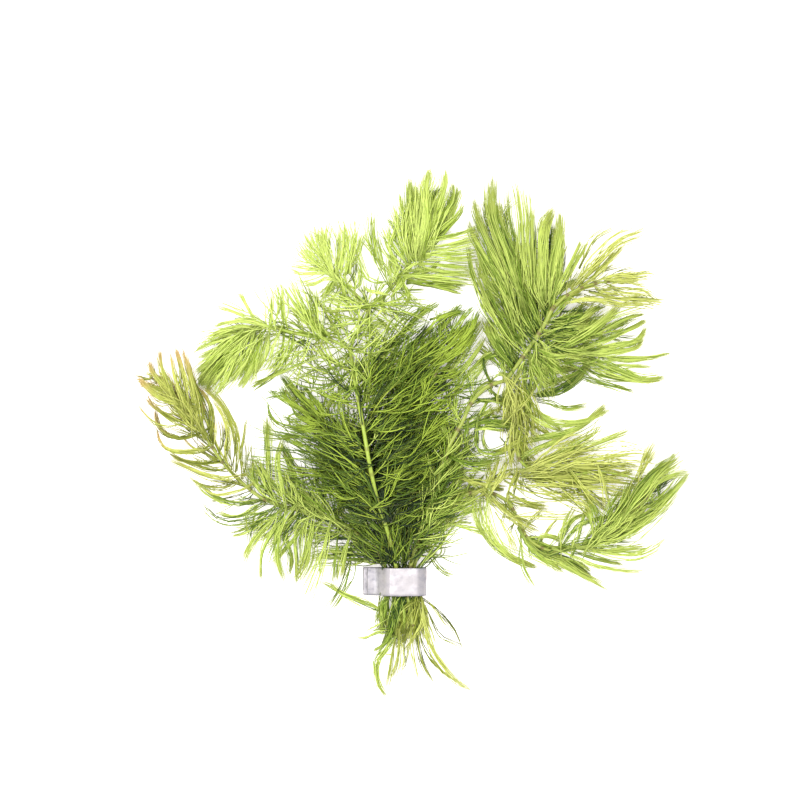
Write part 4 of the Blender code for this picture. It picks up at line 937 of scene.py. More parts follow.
class HornwortStemSettings(bpy.types.PropertyGroup):
    sides: IntProperty(name="Sides", description="Sides of a stem's tube", default=14, min=6, max=32)
    ring_spacing: length_property("Ring spacing", 0.8, 0.2, 5, "Distance between rings of a stem's mesh")
    slimness: share_property(
        "Slimness", 0.82, 0.3, 1.2, "Radius between two whorls as a share of the plain stem's radius")
    swelling: share_property(
        "Swelling", 0.14, 0.0, 1.0, "Extra thickness at a whorl, as a share of the stem's radius")
    green: colour_property("Stem green", (0.19, 0.25, 0.028), "Grown stems between two whorls")
    pale: colour_property("Stem streaks", (0.33, 0.35, 0.075), "Pale streaks of the grown stems")
    scar: colour_property("Stem whorls", (0.12, 0.10, 0.025), "Rings where leaves join the grown stems")
    shoot: colour_property("Shoot green", (0.23, 0.32, 0.03), "Young branches between two whorls")
    shoot_pale: colour_property("Shoot streaks", (0.33, 0.40, 0.07), "Pale streaks of the young branches")
    shoot_scar: colour_property("Shoot whorls", (0.19, 0.22, 0.03), "Rings where leaves join these branches")


class HornwortStripSettings(bpy.types.PropertyGroup):
    seed: IntProperty(name="Seed", description="Start of the dents' random places", default=7, min=1)
    ring_spacing: length_property("Ring spacing", 0.5, 0.2, 2, "Distance between rings of the strip's mesh")
    bevel: length_property("Edge rounding", 0.32, 0.05, 0.5, "Radius of the strip's worn edges")
    dents: length_property("Dents", 0.22, 0.0, 1, "Depth of the dents from pressing the soft metal by hand")
    metal: colour_property("Lead", (0.37, 0.348, 0.36), "Clean metal")
    # Painted highlight: the colour of the strip's slope where it catches the lamp
    painted_highlight: colour_property("Rubbed lead", (0.52, 0.5, 0.52), "Metal rubbed bright by the pliers")
    # Also painted shade: this colour darkens the strip's long edges and its right bend
    tarnish_and_shade: colour_property("Tarnish", (0.25, 0.245, 0.28), "Dull grey film in the scuffs and folds")


class HornwortStageSettings(bpy.types.PropertyGroup):
    floor_colour: colour_property("Floor", (0.93, 0.90, 0.89), "Plain pale floor")
    floor_fibres: colour_property("Floor fibres", (0.8, 0.78, 0.77), "Faint fibres of the paper")
    floor_glow: FloatProperty(
        name="Floor glow", description="Light that comes up through the floor and softens the shadows",
        default=0.5, min=0.0)
    floor_size: FloatProperty(
        name="Floor size", description="Side of the floor", default=4.0, min=0.5, subtype="DISTANCE",
        unit="LENGTH")
    dome_strength: FloatProperty(
        name="Dome", description="Strength of the even light from all round", default=1.75, min=0.0)
    lamp_power: FloatProperty(
        name="Lamp", description="Power of the large soft lamp", default=12.0, min=0.0, unit="POWER")
    camera_height: FloatProperty(
        name="Camera height", description="Height of the camera above the floor", default=1.3, min=0.3,
        subtype="DISTANCE", unit="LENGTH")
    view_width: FloatProperty(
        name="View width", description="Width of floor that fills the square picture", default=0.344,
        min=0.05, subtype="DISTANCE", unit="LENGTH")


class Value:
    """One output of a shader node. Arithmetic on it adds Math nodes, so a finish reads as expressions."""

    def __init__(self, finish, output):
        self.finish = finish
        self.output = output

    def math(self, operation, *values):
        return self.finish.node("ShaderNodeMath", {"operation": operation}, dict(enumerate(values)))

    def __add__(self, other):
        return self.math("ADD", self, other)

    __radd__ = __add__

    def __sub__(self, other):
        return self.math("SUBTRACT", self, other)

    def __rsub__(self, other):
        return self.math("SUBTRACT", other, self)

    def __mul__(self, other):
        return self.math("MULTIPLY", self, other)

    __rmul__ = __mul__

    def __abs__(self):
        return self.math("ABSOLUTE", self)

    def between(self, low, high):
        """0 below low, 1 above high and smooth in between."""
        values = {"Value": self, "From Min": low, "From Max": high}
        return self.finish.node("ShaderNodeMapRange", {"interpolation_type": "SMOOTHSTEP"}, values)


class Finish:
    """A material under construction, with one method that adds any node."""

    def __init__(self, name):
        self.material = bpy.data.materials.new(name)
        self.material.use_nodes = True
        self.tree = self.material.node_tree
        self.shader = self.tree.nodes["Principled BSDF"]

    def node(self, kind, settings=None, values=None, output=0):
        """Adds a node, sets it up, then fills its sockets with numbers, colours or other nodes' outputs."""
        node = self.tree.nodes.new(kind)
        for key, value in (settings or {}).items():
            if key == "stops":
                self.set_stops(node.color_ramp, value)
            else:
                setattr(node, key, value)
        for key, value in (values or {}).items():
            self.fill(node.inputs[key], value)
        return Value(self, node.outputs[output])

    def fill(self, socket, value):
        """Links a socket to another node's output, or sets its own value."""
        if isinstance(value, Value):
            self.tree.links.new(value.output, socket)
        else:
            socket.default_value = value

    def set_stops(self, ramp, stops):
        """Gives a colour ramp its places and colours."""
        while len(ramp.elements) < len(stops):
            ramp.elements.new(1.0)
        for element, (place, colour) in zip(ramp.elements, stops):
            element.position = place
            element.color = (*colour, 1.0)

    def attribute(self, name):
        return self.node("ShaderNodeAttribute", {"attribute_name": name}, output="Fac")

    def place(self):
        return self.node("ShaderNodeTexCoord", output="Object")

    def axis(self, vector, name):
        return self.node("ShaderNodeSeparateXYZ", None, {"Vector": vector}, output=name)

    def stretched(self, vector, scale):
        return self.node("ShaderNodeVectorMath", {"operation": "MULTIPLY"}, {0: vector, 1: scale})

    def noise(self, vector, scale, detail=3.0, roughness=0.55):
        return self.node("ShaderNodeTexNoise", None, {
            "Vector": vector, "Scale": scale, "Detail": detail, "Roughness": roughness})

    def flecks(self, along, across, detail, layer=0.0):
        """Noise that follows two values of the surface, such as the place along a stem and round it."""
        place = self.node("ShaderNodeCombineXYZ", None, {"X": along, "Y": across, "Z": layer})
        return self.noise(place, 1.0, detail)

    def ramp(self, value, stops):
        return self.node("ShaderNodeValToRGB", {"stops": stops}, {"Fac": value})

    def mix(self, share, first, second):
        """first where the share is 0 and second where it is 1."""
        first = first if isinstance(first, Value) else (*first, 1.0)
        second = second if isinstance(second, Value) else (*second, 1.0)
        return self.node("ShaderNodeMix", {"data_type": "RGBA"}, {0: share, 6: first, 7: second}, output=2)

    def bump(self, height, strength, distance):
        values = {"Height": height, "Strength": strength, "Distance": distance}
        return self.node("ShaderNodeBump", None, values)

    def surface(self, **values):
        """Sets the shader's sockets, named in lower case with _ for a space."""
        sockets = {socket.name.lower().replace(" ", "_"): socket for socket in self.shader.inputs}
        for key, value in values.items():
            self.fill(sockets[key], value)
        return self.material


def leaf_finish(name, deep, body, glow, tip):
    """Wet leaf: each strand has its own tone, fine blotches along it, painted shade at its base and its own
    tip.
    """
    finish = Finish(name)
    along = finish.attribute("along")
    tone = finish.attribute("tone")
    blotches = finish.flecks(along * 9, tone * 60, detail=4.0)
    mixed = tone * 0.9 + (blotches - 0.5) * 0.25
    colour = finish.ramp(mixed, ((0.0, deep), (0.45, body), (0.95, glow)))
    yellowing = finish.flecks(tone * 90, 3.0, detail=1.0)
    yellow = (glow[0] * 0.9, glow[0] * 0.85, glow[2])
    # Painted shade: each strand darkens towards the deepest green near its base, among the crowded leaves by
    # the stem
    base = (1 - along).between(0.7, 1.0)
    end = along.between(0.55, 1.0)
    colour = finish.mix(yellowing.between(0.5, 0.75) * 0.45, colour, yellow)
    colour = finish.mix(base * 0.35, colour, deep)
    colour = finish.mix(end * (0.3 + tone * 0.5), colour, tip)
    ripples = finish.flecks(along * 60, tone * 200, detail=2.0)
    return finish.surface(
        base_color=colour, roughness=0.42 + blotches * 0.22, normal=finish.bump(ripples, 0.3, 0.05 * MM),
        specular_ior_level=0.3, coat_weight=0.08, coat_roughness=0.25)


def stem_finish(name, green, pale, ring):
    """Smooth wet stem with pale lengthwise streaks and a darker ring at each whorl."""
    finish = Finish(name)
    along = finish.attribute("along")
    turn = finish.attribute("turn")
    scar = finish.attribute("scar")
    streaks = finish.flecks(along * 0.25, turn * 9, detail=4.0)
    colour = finish.mix(streaks.between(0.4, 0.7), green[:], pale[:])
    flecks = finish.flecks(along * 1.5, turn * 6, detail=5.0, layer=4.0)
    colour = finish.mix((scar * (0.45 + flecks)).between(0.2, 0.9), colour, ring[:])
    return finish.surface(
        base_color=colour, roughness=0.3 + flecks * 0.2, normal=finish.bump(streaks, 0.4, 0.12 * MM),
        specular_ior_level=0.3, coat_weight=0.15, coat_roughness=0.2)


def strip_finish(settings):
    """Soft lead: clean metal under a mottled dull grey layer, with scratches along and across the strip.
    Painted shade darkens its long edges and its right bend, and a painted highlight lies on its slope.
    """
    finish = Finish("lead_metal")
    place = finish.place()
    clouds = finish.noise(place, 380.0, detail=6.0, roughness=0.65)
    grain = finish.noise(finish.stretched(place, (1.0, 0.12, 1.0)), 2600.0, detail=3.0)
    scratches = finish.noise(finish.stretched(place, (0.18, 1.0, 1.0)), 2400.0, detail=5.0, roughness=0.7)
    across = finish.axis(place, "X")
    leftward = across * -1
    # Painted shade along the long edges and round the right bend
    edge = abs(finish.axis(place, "Y")).between(EDGE_SHADE[0] * MM, EDGE_SHADE[1] * MM)
    bend = across.between(BEND_SHADE[0] * MM, BEND_SHADE[1] * MM)
    # Painted highlight on the slope down to the pressed end
    pressed = leftward.between(-SLOPE_TOP * MM, -SLOPE_FOOT * MM)
    painted_highlight = pressed * (1 - leftward.between(-SLOPE_FOOT * MM, (HIGHLIGHT_LENGTH - SLOPE_FOOT) * MM))
    # The dull grey mottling and scratches, plus the painted shade on the edges and the bend; the pressed end
    # is made greyer too
    film_and_shade = clouds.between(0.38, 0.72) * 0.5 + scratches.between(0.55, 0.7) * 0.35
    film_and_shade = film_and_shade + edge * 0.4 + bend * 0.55 + pressed * 0.35
    metal = finish.mix(painted_highlight, settings.metal[:], settings.painted_highlight[:])
    colour = finish.mix(film_and_shade.between(0.0, 1.2), metal, settings.tarnish_and_shade[:])
    height = clouds * 0.7 + grain * 0.2 + scratches * 0.35
    return finish.surface(
        base_color=colour, metallic=0.85, roughness=0.38 + film_and_shade * 0.3,
        normal=finish.bump(height, 0.5, 0.15 * MM))


def floor_finish(settings):
    """Matt pale paper."""
    finish = Finish("floor_paper")
    fibres = finish.noise(finish.place(), 900.0, detail=2.0)
    colour = finish.mix(fibres * 0.03, settings.floor_colour[:], settings.floor_fibres[:])
    return finish.surface(
        base_color=colour, roughness=0.9, emission_color=(*settings.floor_colour, 1.0),
        emission_strength=settings.floor_glow)


def unit(vectors):
    """The vectors at a length of one."""
    return vectors / np.maximum(np.linalg.norm(vectors, axis=-1, keepdims=True), 1e-9)


def smooth_line(points):
    """A smooth curve through the points, in short steps."""
    points = np.array(points, float)
    padded = np.vstack((2 * points[0] - points[1], points, 2 * points[-1] - points[-2]))
    pieces = []
    t = (np.arange(ROUTE_STEPS) / ROUTE_STEPS)[:, None]
    for a, b, c, d in zip(padded, padded[1:], padded[2:], padded[3:]):
        bend = 2 * a - 5 * b + 4 * c - d
        twist = 3 * b - a - 3 * c + d
        pieces.append(0.5 * (2 * b + (c - a) * t + bend * t ** 2 + twist * t ** 3))
    return np.vstack((*pieces, points[-1]))


class Route:
    """A smooth line that can be read at any distance along it, in mm."""

    def __init__(self, points):
        self.line = smooth_line(points)
        steps = np.linalg.norm(np.diff(self.line, axis=0), axis=1)
        self.travelled = np.concatenate(([0.0], np.cumsum(steps)))
        self.length = self.travelled[-1]

    def at(self, distance):
        """The points at those distances."""
        return np.stack([np.interp(distance, self.travelled, column) for column in self.line.T], -1)

    def way(self, distance, reach=1.0):
        """The directions there, read over a short reach to both sides."""
        ahead = self.at(np.minimum(distance + reach, self.length))
        behind = self.at(np.maximum(distance - reach, 0.0))
        return unit(ahead - behind)


ROUTES = {name: Route(points) for name, (points, *_) in STEMS.items()}


def shifting(pair, share):
    """A value that goes from the first of a pair to the second as the share goes from 0 to 1."""
    return pair[0] + (pair[1] - pair[0]) * share


def draw_range(ranges, clump, count, draw):
    """Random values from a range that goes from the first to the second as clump goes from 0 to 1."""
    low, high = shifting(np.array(ranges), clump)
    return draw.uniform(low, high, count)


def whorl_places(start, end, spacing):
    """Distances of the whorls along a stem."""
    places = []
    here = start
    while here <= end:
        places.append(here)
        here += shifting(spacing, (here - start) / max(end - start, 1e-6))
    return np.array(places)


def add_mesh(name, points, faces):
    """An object whose mesh has those points, in mm, and triangles or quads."""
    mesh = bpy.data.meshes.new(name)
    mesh.from_pydata(points * MM, [], faces)
    mesh.shade_smooth()
    piece = bpy.data.objects.new(name, mesh)
    bpy.context.scene.collection.objects.link(piece)
    return piece


def add_attribute(piece, name, values):
    """A value for each point of the mesh, which the piece's material can read by its name."""
    layer = piece.data.attributes.new(name, "FLOAT", "POINT")
    layer.data.foreach_set("value", values.astype(np.float32).ravel())


def add_bake_map(piece, across, upward):
    """A texture layout from two values, 0 to 1, that each point of the mesh has."""
    corners = np.empty(len(piece.data.loops), np.int32)
    piece.data.loops.foreach_get("vertex_index", corners)
    places = np.stack((across, upward), -1)[corners]
    layer = piece.data.uv_layers.new(name="OFBake")
    layer.data.foreach_set("uv", np.clip(places, 0.0, 1.0).astype(np.float32).ravel())


def hand_over(piece, node, material):
    """Gives a finished piece its material and its place in the frame."""
    piece.data.materials.append(material)
    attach(piece, "root")
    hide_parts(node)


def tube_faces(tubes, rings, sides):
    """Triangles of closed tubes with flat ends, for points laid out as tubes, rings and sides."""
    first = (np.arange(tubes) * rings * sides)[:, None, None]
    ring = (np.arange(rings - 1) * sides)[None, :, None]
    side = np.arange(sides)[None, None, :]
    after = (side + 1) % sides
    a = first + ring + side
    b = first + ring + after
    wall = np.concatenate((np.stack((a, b, b + sides), -1).reshape(-1, 3),
                           np.stack((a, b + sides, a + sides), -1).reshape(-1, 3)))
    fan = np.stack((np.zeros(sides - 2, int), np.arange(2, sides), np.arange(1, sides - 1)), -1)
    start = (first[:, 0] + fan.reshape(1, -1)).reshape(-1, 3)
    end = (first[:, 0] + (rings - 1) * sides + fan[:, ::-1].reshape(1, -1)).reshape(-1, 3)
    return np.concatenate((wall, start, end))


def free_leaves(plume, route, settings, draw):
    """Paths of the leaves in a plume's whorls, as they would bend with no neighbour to cling to."""
    places = whorl_places(*plume.span, plume.whorls)
    count = len(places) * plume.leaves
    if not count:
        return np.zeros((0, len(SHARES), 3))
    at = np.repeat(places, plume.leaves) + draw.normal(0, PLACE_SPREAD, count)
    at = np.clip(at, 0, route.length)
    share = plume.share(at)
    length = shifting(plume.length, share) * draw.uniform(*LENGTH_RANGE, count)
    turn = np.tile(np.arange(plume.leaves) / plume.leaves, len(places))
    turn = 2 * math.pi * (turn + np.repeat(draw.random(len(places)), plume.leaves))
    turn = turn + draw.normal(0, TURN_SPREAD, count)
    kept = np.sin(turn) < 0.2 + shifting(plume.over, share)
    at, share, length, turn = at[kept], share[kept], length[kept], turn[kept]
    count = len(at)
    way = route.way(at)
    left = unit(np.cross(UP, way))
    lift = np.cross(way, left)
    out = unit(np.cos(turn)[:, None] * left + settings.rise * np.sin(turn)[:, None] * lift)
    opens = shifting(plume.opens, share) + draw.normal(0, OPENING_SPREAD, count)
    closes = shifting(plume.closes, share) + draw.normal(0, CLOSING_SPREAD, count)
    angle = np.radians(opens[:, None] + (closes - opens)[:, None] * SHARES ** 0.8)[..., None]
    step = (length / len(SHARES))[:, None, None]
    steps = (np.cos(angle) * way[:, None] + np.sin(angle) * out[:, None]) * step
    paths = route.at(at)[:, None] + np.cumsum(steps, axis=1) - steps[:, :1]
    paths[..., :2] += np.array(plume.sweep) * SHARES[:, None] ** 2
    paths += draw.normal(0, TIP_SPREAD, (count, 1, 1)) * left[:, None] * (SHARES ** 2)[:, None]
    paths[..., 2] -= settings.droop * length[:, None] * SHARES ** 2
    return paths


def read_between(paths, start, end, rings):
    """Points of each path at even shares from its own start to its own end."""
    share = start[:, None] + (end - start)[:, None] * np.linspace(0, 1, rings)
    place = share * (len(SHARES) - 1)
    low = np.clip(place.astype(int), 0, len(SHARES) - 2)
    rest = (place - low)[..., None]
    row = np.arange(len(paths))[:, None]
    return paths[row, low] * (1 - rest) + paths[row, low + 1] * rest, share


def table_line(line):
    """A drawn line, given as x and y in turn, at even shares of its length."""
    path = Route([(x, y, 0) for x, y in np.reshape(line, (-1, 2))])
    return path.at(SHARES * path.length)[:, :2]


def sheet_lines(guides, count, clump, draw):
    """Lines of leaves that lie across the field between a sheet's guides.

    They spring from whorls in groups. Airy groups fan out and clumped ones meet near their tips.
    """
    guides = np.array([table_line(guide) for guide in guides])
    last = len(guides) - 1
    own = (np.arange(count) + draw.random(count)) / count * last
    groups = max(2, count // WHORL_LEAVES)
    middle = (np.arange(groups) + draw.random(groups)) / groups * last
    group = np.abs(own[:, None] - middle[None]).argmin(axis=1)
    if clump > 0.5:
        place = own[:, None] + (middle[group] - own)[:, None] * 0.85 * SHARES ** 1.3
    else:
        place = middle[group, None] + (own - middle[group])[:, None] * (0.15 + 2.2 * SHARES)
    place = np.clip(place, 0, last)
    low = np.minimum(place.astype(int), last - 1)
    share = (place - low)[..., None]
    step = np.arange(len(SHARES))
    lines = guides[low, step] * (1 - share) + guides[low + 1, step] * share
    starts = draw.uniform(*SHEET_STARTS, count)
    ends = draw.uniform(*SHEET_ENDS, count)
    lines, _ = read_between(lines, starts, ends, len(SHARES))
    across = unit(lines[:, -1] - lines[:, 0])[:, None, ::-1] * (1, -1)
    loose = 1 - 0.75 * clump
    bow = draw.normal(0, LEAF_BOW * loose, count) + draw.normal(0, WHORL_BOW, groups)[group]
    lines = lines + bow[:, None, None] * across * (4 * SHARES * (1 - SHARES))[:, None]
    drift = draw.normal(0, LEAF_DRIFT * loose, (count, 2)) + draw.normal(0, WHORL_DRIFT, (groups, 2))[group]
    return lines + draw.normal(0, LEAF_PLACE, (count, 1, 2)) + drift[:, None] * SHARES[:, None]


def raise_lines(flat, route, top, plume, draw):
    """Gives drawn lines their heights: up from the stem over a low arch, then down to a tip near the table.

    Some of them spring from the far side of the stem and pass over it.
    """
    count = len(flat)
    way = unit(flat[:, 4] - flat[:, 0])
    gaps = np.linalg.norm(route.line[None, :, :2] - flat[:, None, 0], axis=2)
    near = gaps.argmin(axis=1)
    over = draw.random(count) < shifting(plume.over, plume.share(route.travelled[near]))
    behind = np.where(over, draw.uniform(*START_BEHIND, count), 0.0)
    flat = flat - (way * behind[:, None])[:, None] * ((1 - SHARES) ** 2)[:, None]
    carried = route.line[near, 2] * np.exp(-(gaps.min(axis=1) / STEM_REACH) ** 2)
    clear = np.where(over, draw.uniform(*START_ABOVE, count), draw.uniform(*START_BESIDE, count))
    start = (carried + plume.lift + clear)[:, None]
    tip = (top * draw.uniform(*TIP_HEIGHTS, count))[:, None]
    arch = (top * draw.uniform(*ARCH_HEIGHTS, count))[:, None]
    fall = SHARES ** 1.5
    height = start * (1 - fall) + tip * fall + arch * 4 * SHARES * (1 - SHARES)
    return np.concatenate((flat, height[..., None]), axis=2)


def drawn_lines(plume, route, top, draw):
    """Middle lines of a plume's drawn tufts and sheets, with the number of leaves and the shade of each."""
    flat, counts, shades = [], [], []
    for number, shade, *line in plume.tufts:
        flat.append(table_line(line)[None])
        counts.append(max(1, round(number * shifting(TUFT_LEAVES, plume.clump) + plume.clump)))
        shades.append(shade)
    for number, shade, *guides in plume.sheets:
        count = round(number * shifting(SHEET_LEAVES, plume.clump))
        flat.append(sheet_lines(guides, count, plume.clump, draw))
        counts.extend([1] * count)
        shades.extend([shade] * count)
    if not flat:
        return np.zeros((0, len(SHARES), 3)), counts, shades
    return raise_lines(np.concatenate(flat), route, top, plume, draw), counts, shades


def tuft_leaves(lines, counts, draw):
    """Paths of the leaves of tufts and the line that each follows.

    They are apart near the stem and halfway, and close to their line at the tip.
    """
    leader = np.repeat(np.arange(len(lines)), counts)
    spread = np.where(np.array(counts) > 1, TUFT_SPREAD * np.sqrt(counts), 0.0)[leader][:, None, None]
    across = unit(np.cross(UP, lines[:, -1] - lines[:, 0]))[leader][:, None]
    apart = spread * draw.normal(0, 0.7, (len(leader), 1, 1)) * across
    apart = apart + spread * draw.normal(0, 0.4, (len(leader), 1, 1)) * UP
    bulge = spread * draw.normal(0, 1.0, (len(leader), 1, 1)) * across
    share = SHARES[:, None]
    return lines[leader] + apart * (1 - 0.5 * share) + bulge * 4 * share * (1 - share), leader


def fork(paths, start, clump, draw):
    """Side segments that leave their leaf at a share of its length and then run beside it."""
    count = len(paths)
    length = np.linalg.norm(paths[:, -1] - paths[:, 0], axis=1)
    way = unit(paths[:, -1] - paths[:, len(SHARES) // 3])
    across = unit(np.cross(way, UP) + draw.normal(0, 0.5, (count, 3)))
    across = across * draw.choice((-1, 1), (count, 1))
    gap = length * np.tan(np.radians(draw_range(FORK_ANGLES, clump, count, draw)))
    opening = 1 - (1 - np.clip((SHARES - start[:, None]) / (1 - start[:, None]), 0, 1)) ** 1.7
    return paths + across[:, None] * (gap[:, None] * (1 - start[:, None]) * opening)[..., None]


def cling(paths, lines, strength):
    """Draws strands towards the middle line of their tuft, more and more towards the tip."""
    rise = np.clip((SHARES - CLING_START) / CLING_GROWTH, 0, 1)
    rise = rise * rise * (3 - 2 * rise)
    return paths + (lines - paths) * (strength[:, None] * rise)[..., None]


def wavy(paths, draw):
    """Gives each strand a slight wave of its own."""
    count = len(paths)
    phase = 2 * math.pi * (draw.uniform(*WAVES, (count, 1)) * SHARES + draw.random((count, 1)))
    across = unit(np.cross(UP, paths[:, -1] - paths[:, 0]) + draw.normal(0, 0.3, (count, 3)))
    height = draw.normal(0, WAVE_HEIGHT, (count, 1)) * np.sin(phase) * SHARES
    return paths + height[..., None] * across[:, None]


def settle(paths, draw):
    """Keeps strands above the table: where they would sink into it they lie on it."""
    rest = draw.uniform(*RESTING_HEIGHTS, (len(paths), 1))
    above = paths[..., 2] - rest
    paths[..., 2] = rest + np.where(above > 1, above, np.exp(np.minimum(above, 1) - 1))
    return paths


def avoid_strip(paths):
    """Takes strands that come near the lead strip through its loop, or over its pressed end."""
    x, y, z = np.moveaxis(paths, -1, 0)
    left, right = LOOP_SIDES
    outside = np.maximum.reduce((np.abs(y) - STRIP_REACH, x - right, left - x, np.zeros(x.shape)))
    paths[..., 2] = np.minimum(z, HEADROOM + HEADROOM_GROWTH * outside ** 1.2)
    pressed = (np.abs(y) < STRIP_REACH) & (x < left) & (x > PRESSED_LEFT)
    paths[..., 2] = np.where(pressed, np.maximum(paths[..., 2], PRESSED_TOP), paths[..., 2])
    return paths


def join_tufts(free, lines, clump, draw):
    """The line that each free leaf follows, and how closely: its own, or one with its tip close by."""
    own = len(lines) - len(free) + np.arange(len(free))
    gaps = np.linalg.norm(free[:, None, -1] - lines[None, :, -1], axis=2)
    gaps[np.arange(len(free)), own] = np.inf
    joins = (gaps.min(axis=1) < JOINING_REACH) & (draw.random(len(free)) < JOINING_SHARE)
    leader = np.where(joins, gaps.argmin(axis=1), own)
    return leader, draw_range(FREE_STRENGTHS, clump, len(free), draw)


def grow_strands(plume, top, settings, draw):
    """Paths, starts, ends and tones of all strands of a plume. The second half starts at late forks."""
    route = ROUTES[plume.stem]
    clump = plume.clump
    lines, counts, shades = drawn_lines(plume, route, top, draw)
    leaves, leader = tuft_leaves(lines, counts, draw)
    alone = np.array(counts)[leader] == 1
    strength = np.where(alone, draw_range(LONE_STRENGTHS, clump, len(leader), draw),
                        draw_range(TUFT_STRENGTHS, clump, len(leader), draw))

    free = free_leaves(plume, route, settings, draw)
    lines = np.concatenate((lines, free))
    # Painted shade: leaves outside tufts lie low among the others and are made a little darker
    shades = np.concatenate((shades, np.full(len(free), FREE_SHADE)))
    if len(free):
        free_leader, free_strength = join_tufts(free, lines, clump, draw)
        leaves = np.concatenate((leaves, free))
        leader = np.concatenate((leader, free_leader))
        strength = np.concatenate((strength, free_strength))

    count = len(leaves)
    early, late, later = (draw.uniform(*shares, count) for shares in FORK_SHARES)
    second = fork(leaves, early, clump, draw)
    third = fork(leaves, late, clump, draw)
    fourth = fork(second, later, clump, draw)
    strands = np.concatenate((leaves, second, third, fourth))
    start = np.concatenate((np.zeros(count), early, late, later))
    end = draw_range(SEGMENT_ENDS, clump, len(strands), draw)
    leader = np.tile(leader, 4)
    strength = np.tile(strength, 4) * draw.uniform(*STRENGTH_RANGE, len(strands))
    strength = np.minimum(strength, MOST_STRENGTH)
    strands = avoid_strip(settle(wavy(cling(strands, lines[leader], strength), draw), draw))

    # Painted light and shade: strands that lie high in their plume are lighter, low ones darker
    height_shade = strands[:, len(SHARES) // 2, 2] / top - MIDDLE_HEIGHT
    shade = np.array(shades)[leader] + draw.normal(0, TUFT_TONES, len(lines))[leader]
    own = np.tile(draw.normal(0, LEAF_TONES, count), 4) + draw.normal(0, SEGMENT_TONES, len(strands))
    return strands, start, end, np.clip(COMMON_TONE + plume.tone + shade + height_shade + own, 0, 1)


def strand_points(paths, radii, flatness):
    """Corners of slim three-sided tubes, wider than they are thick."""
    way = unit(np.gradient(paths, axis=1))
    side = unit(np.cross(way, UP) + 1e-6)
    lift = np.cross(side, way)
    turns = 2 * math.pi * np.arange(STRAND_CORNERS) / STRAND_CORNERS + math.pi / 2
    across = np.cos(turns)[:, None] * side[:, :, None]
    upward = flatness * np.sin(turns)[:, None] * lift[:, :, None]
    return paths[:, :, None] + radii[:, :, None, None] * (across + upward)


def grow_plume(name, settings, material):
    """Makes the mesh of all leaves of one plume."""
    plume = PLUMES[name]
    draw = np.random.default_rng(settings.seed + list(PLUMES).index(name))
    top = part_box(name)[1].z / MM
    strands, start, end, tone = grow_strands(plume, top, settings, draw)
    width = settings.strand_width / MM * shifting((AIRY_WIDTH, 1), plume.clump)
    width = width * draw.uniform(*WIDTH_RANGE, len(strands))
    half = len(strands) // 2
    parts = []
    used = 0
    for group, rings in ((slice(0, half), LONG_RINGS), (slice(half, None), SHORT_RINGS)):
        paths, share = read_between(strands[group], start[group], end[group], rings)
        radii = width[group, None] / 2 * (1 - 0.3 * share) * (1 - 0.7 * share ** 7)
        radii[:, -1] *= 0.5
        corners = strand_points(paths, radii, settings.strand_flatness).reshape(-1, 3)
        faces = used + tube_faces(len(paths), rings, STRAND_CORNERS)
        along = np.repeat(share, STRAND_CORNERS, axis=1).ravel()
        tones = np.repeat(tone[group], rings * STRAND_CORNERS)
        lanes = np.tile(CORNER_LANES, len(paths) * rings)
        parts.append((corners, faces, along, tones, lanes))
        used += len(corners)
    corners, faces, along, tones, lanes = map(np.concatenate, zip(*parts))
    piece = add_mesh(name, corners, faces)
    add_attribute(piece, "along", along)
    add_attribute(piece, "tone", tones)
    room = 1 - 2 * MAP_BORDER
    add_bake_map(piece, MAP_BORDER + room * along, MAP_BORDER + room * tones + lanes)
    hand_over(piece, name, material)


def make_stem(name, settings, material):
    """Makes one stem or branch: an uneven tube that swells where each whorl of leaves joins it."""
    points, radius, spacing = STEMS[name]
    route = ROUTES[name]
    rings = max(8, round(route.length / (settings.ring_spacing / MM)))
    distance = np.linspace(0, route.length, rings)
    whorls = whorl_places(0, route.length, spacing)
    nearness = np.exp(-(np.abs(distance[:, None] - whorls[None]).min(axis=1) / WHORL_REACH) ** 2)
    radii = settings.slimness * shifting(radius, distance / route.length)
    radii = radii * (1 + settings.swelling * nearness)
    centres, way = route.at(distance), route.way(distance)
    side = unit(np.cross(way, UP))
    lift = np.cross(side, way)
    turns = 2 * math.pi * np.arange(settings.sides) / settings.sides
    uneven = 1 + UNEVENNESS * np.array([
        [noise.noise(Vector((math.cos(turn) * 1.5, math.sin(turn) * 1.5, at * 0.4))) for turn in turns]
        for at in distance])
    ring = np.cos(turns)[:, None] * side[:, None] + np.sin(turns)[:, None] * lift[:, None]
    corners = centres[:, None] + (radii[:, None] * uneven)[..., None] * ring
    piece = add_mesh(name, corners.reshape(-1, 3), tube_faces(1, rings, settings.sides))
    turn = np.tile(np.arange(settings.sides) / settings.sides, rings)
    add_attribute(piece, "along", np.repeat(distance, settings.sides))
    add_attribute(piece, "turn", np.abs(turn * 2 - 1))
    add_attribute(piece, "scar", np.repeat(nearness, settings.sides))
    hand_over(piece, name, material)


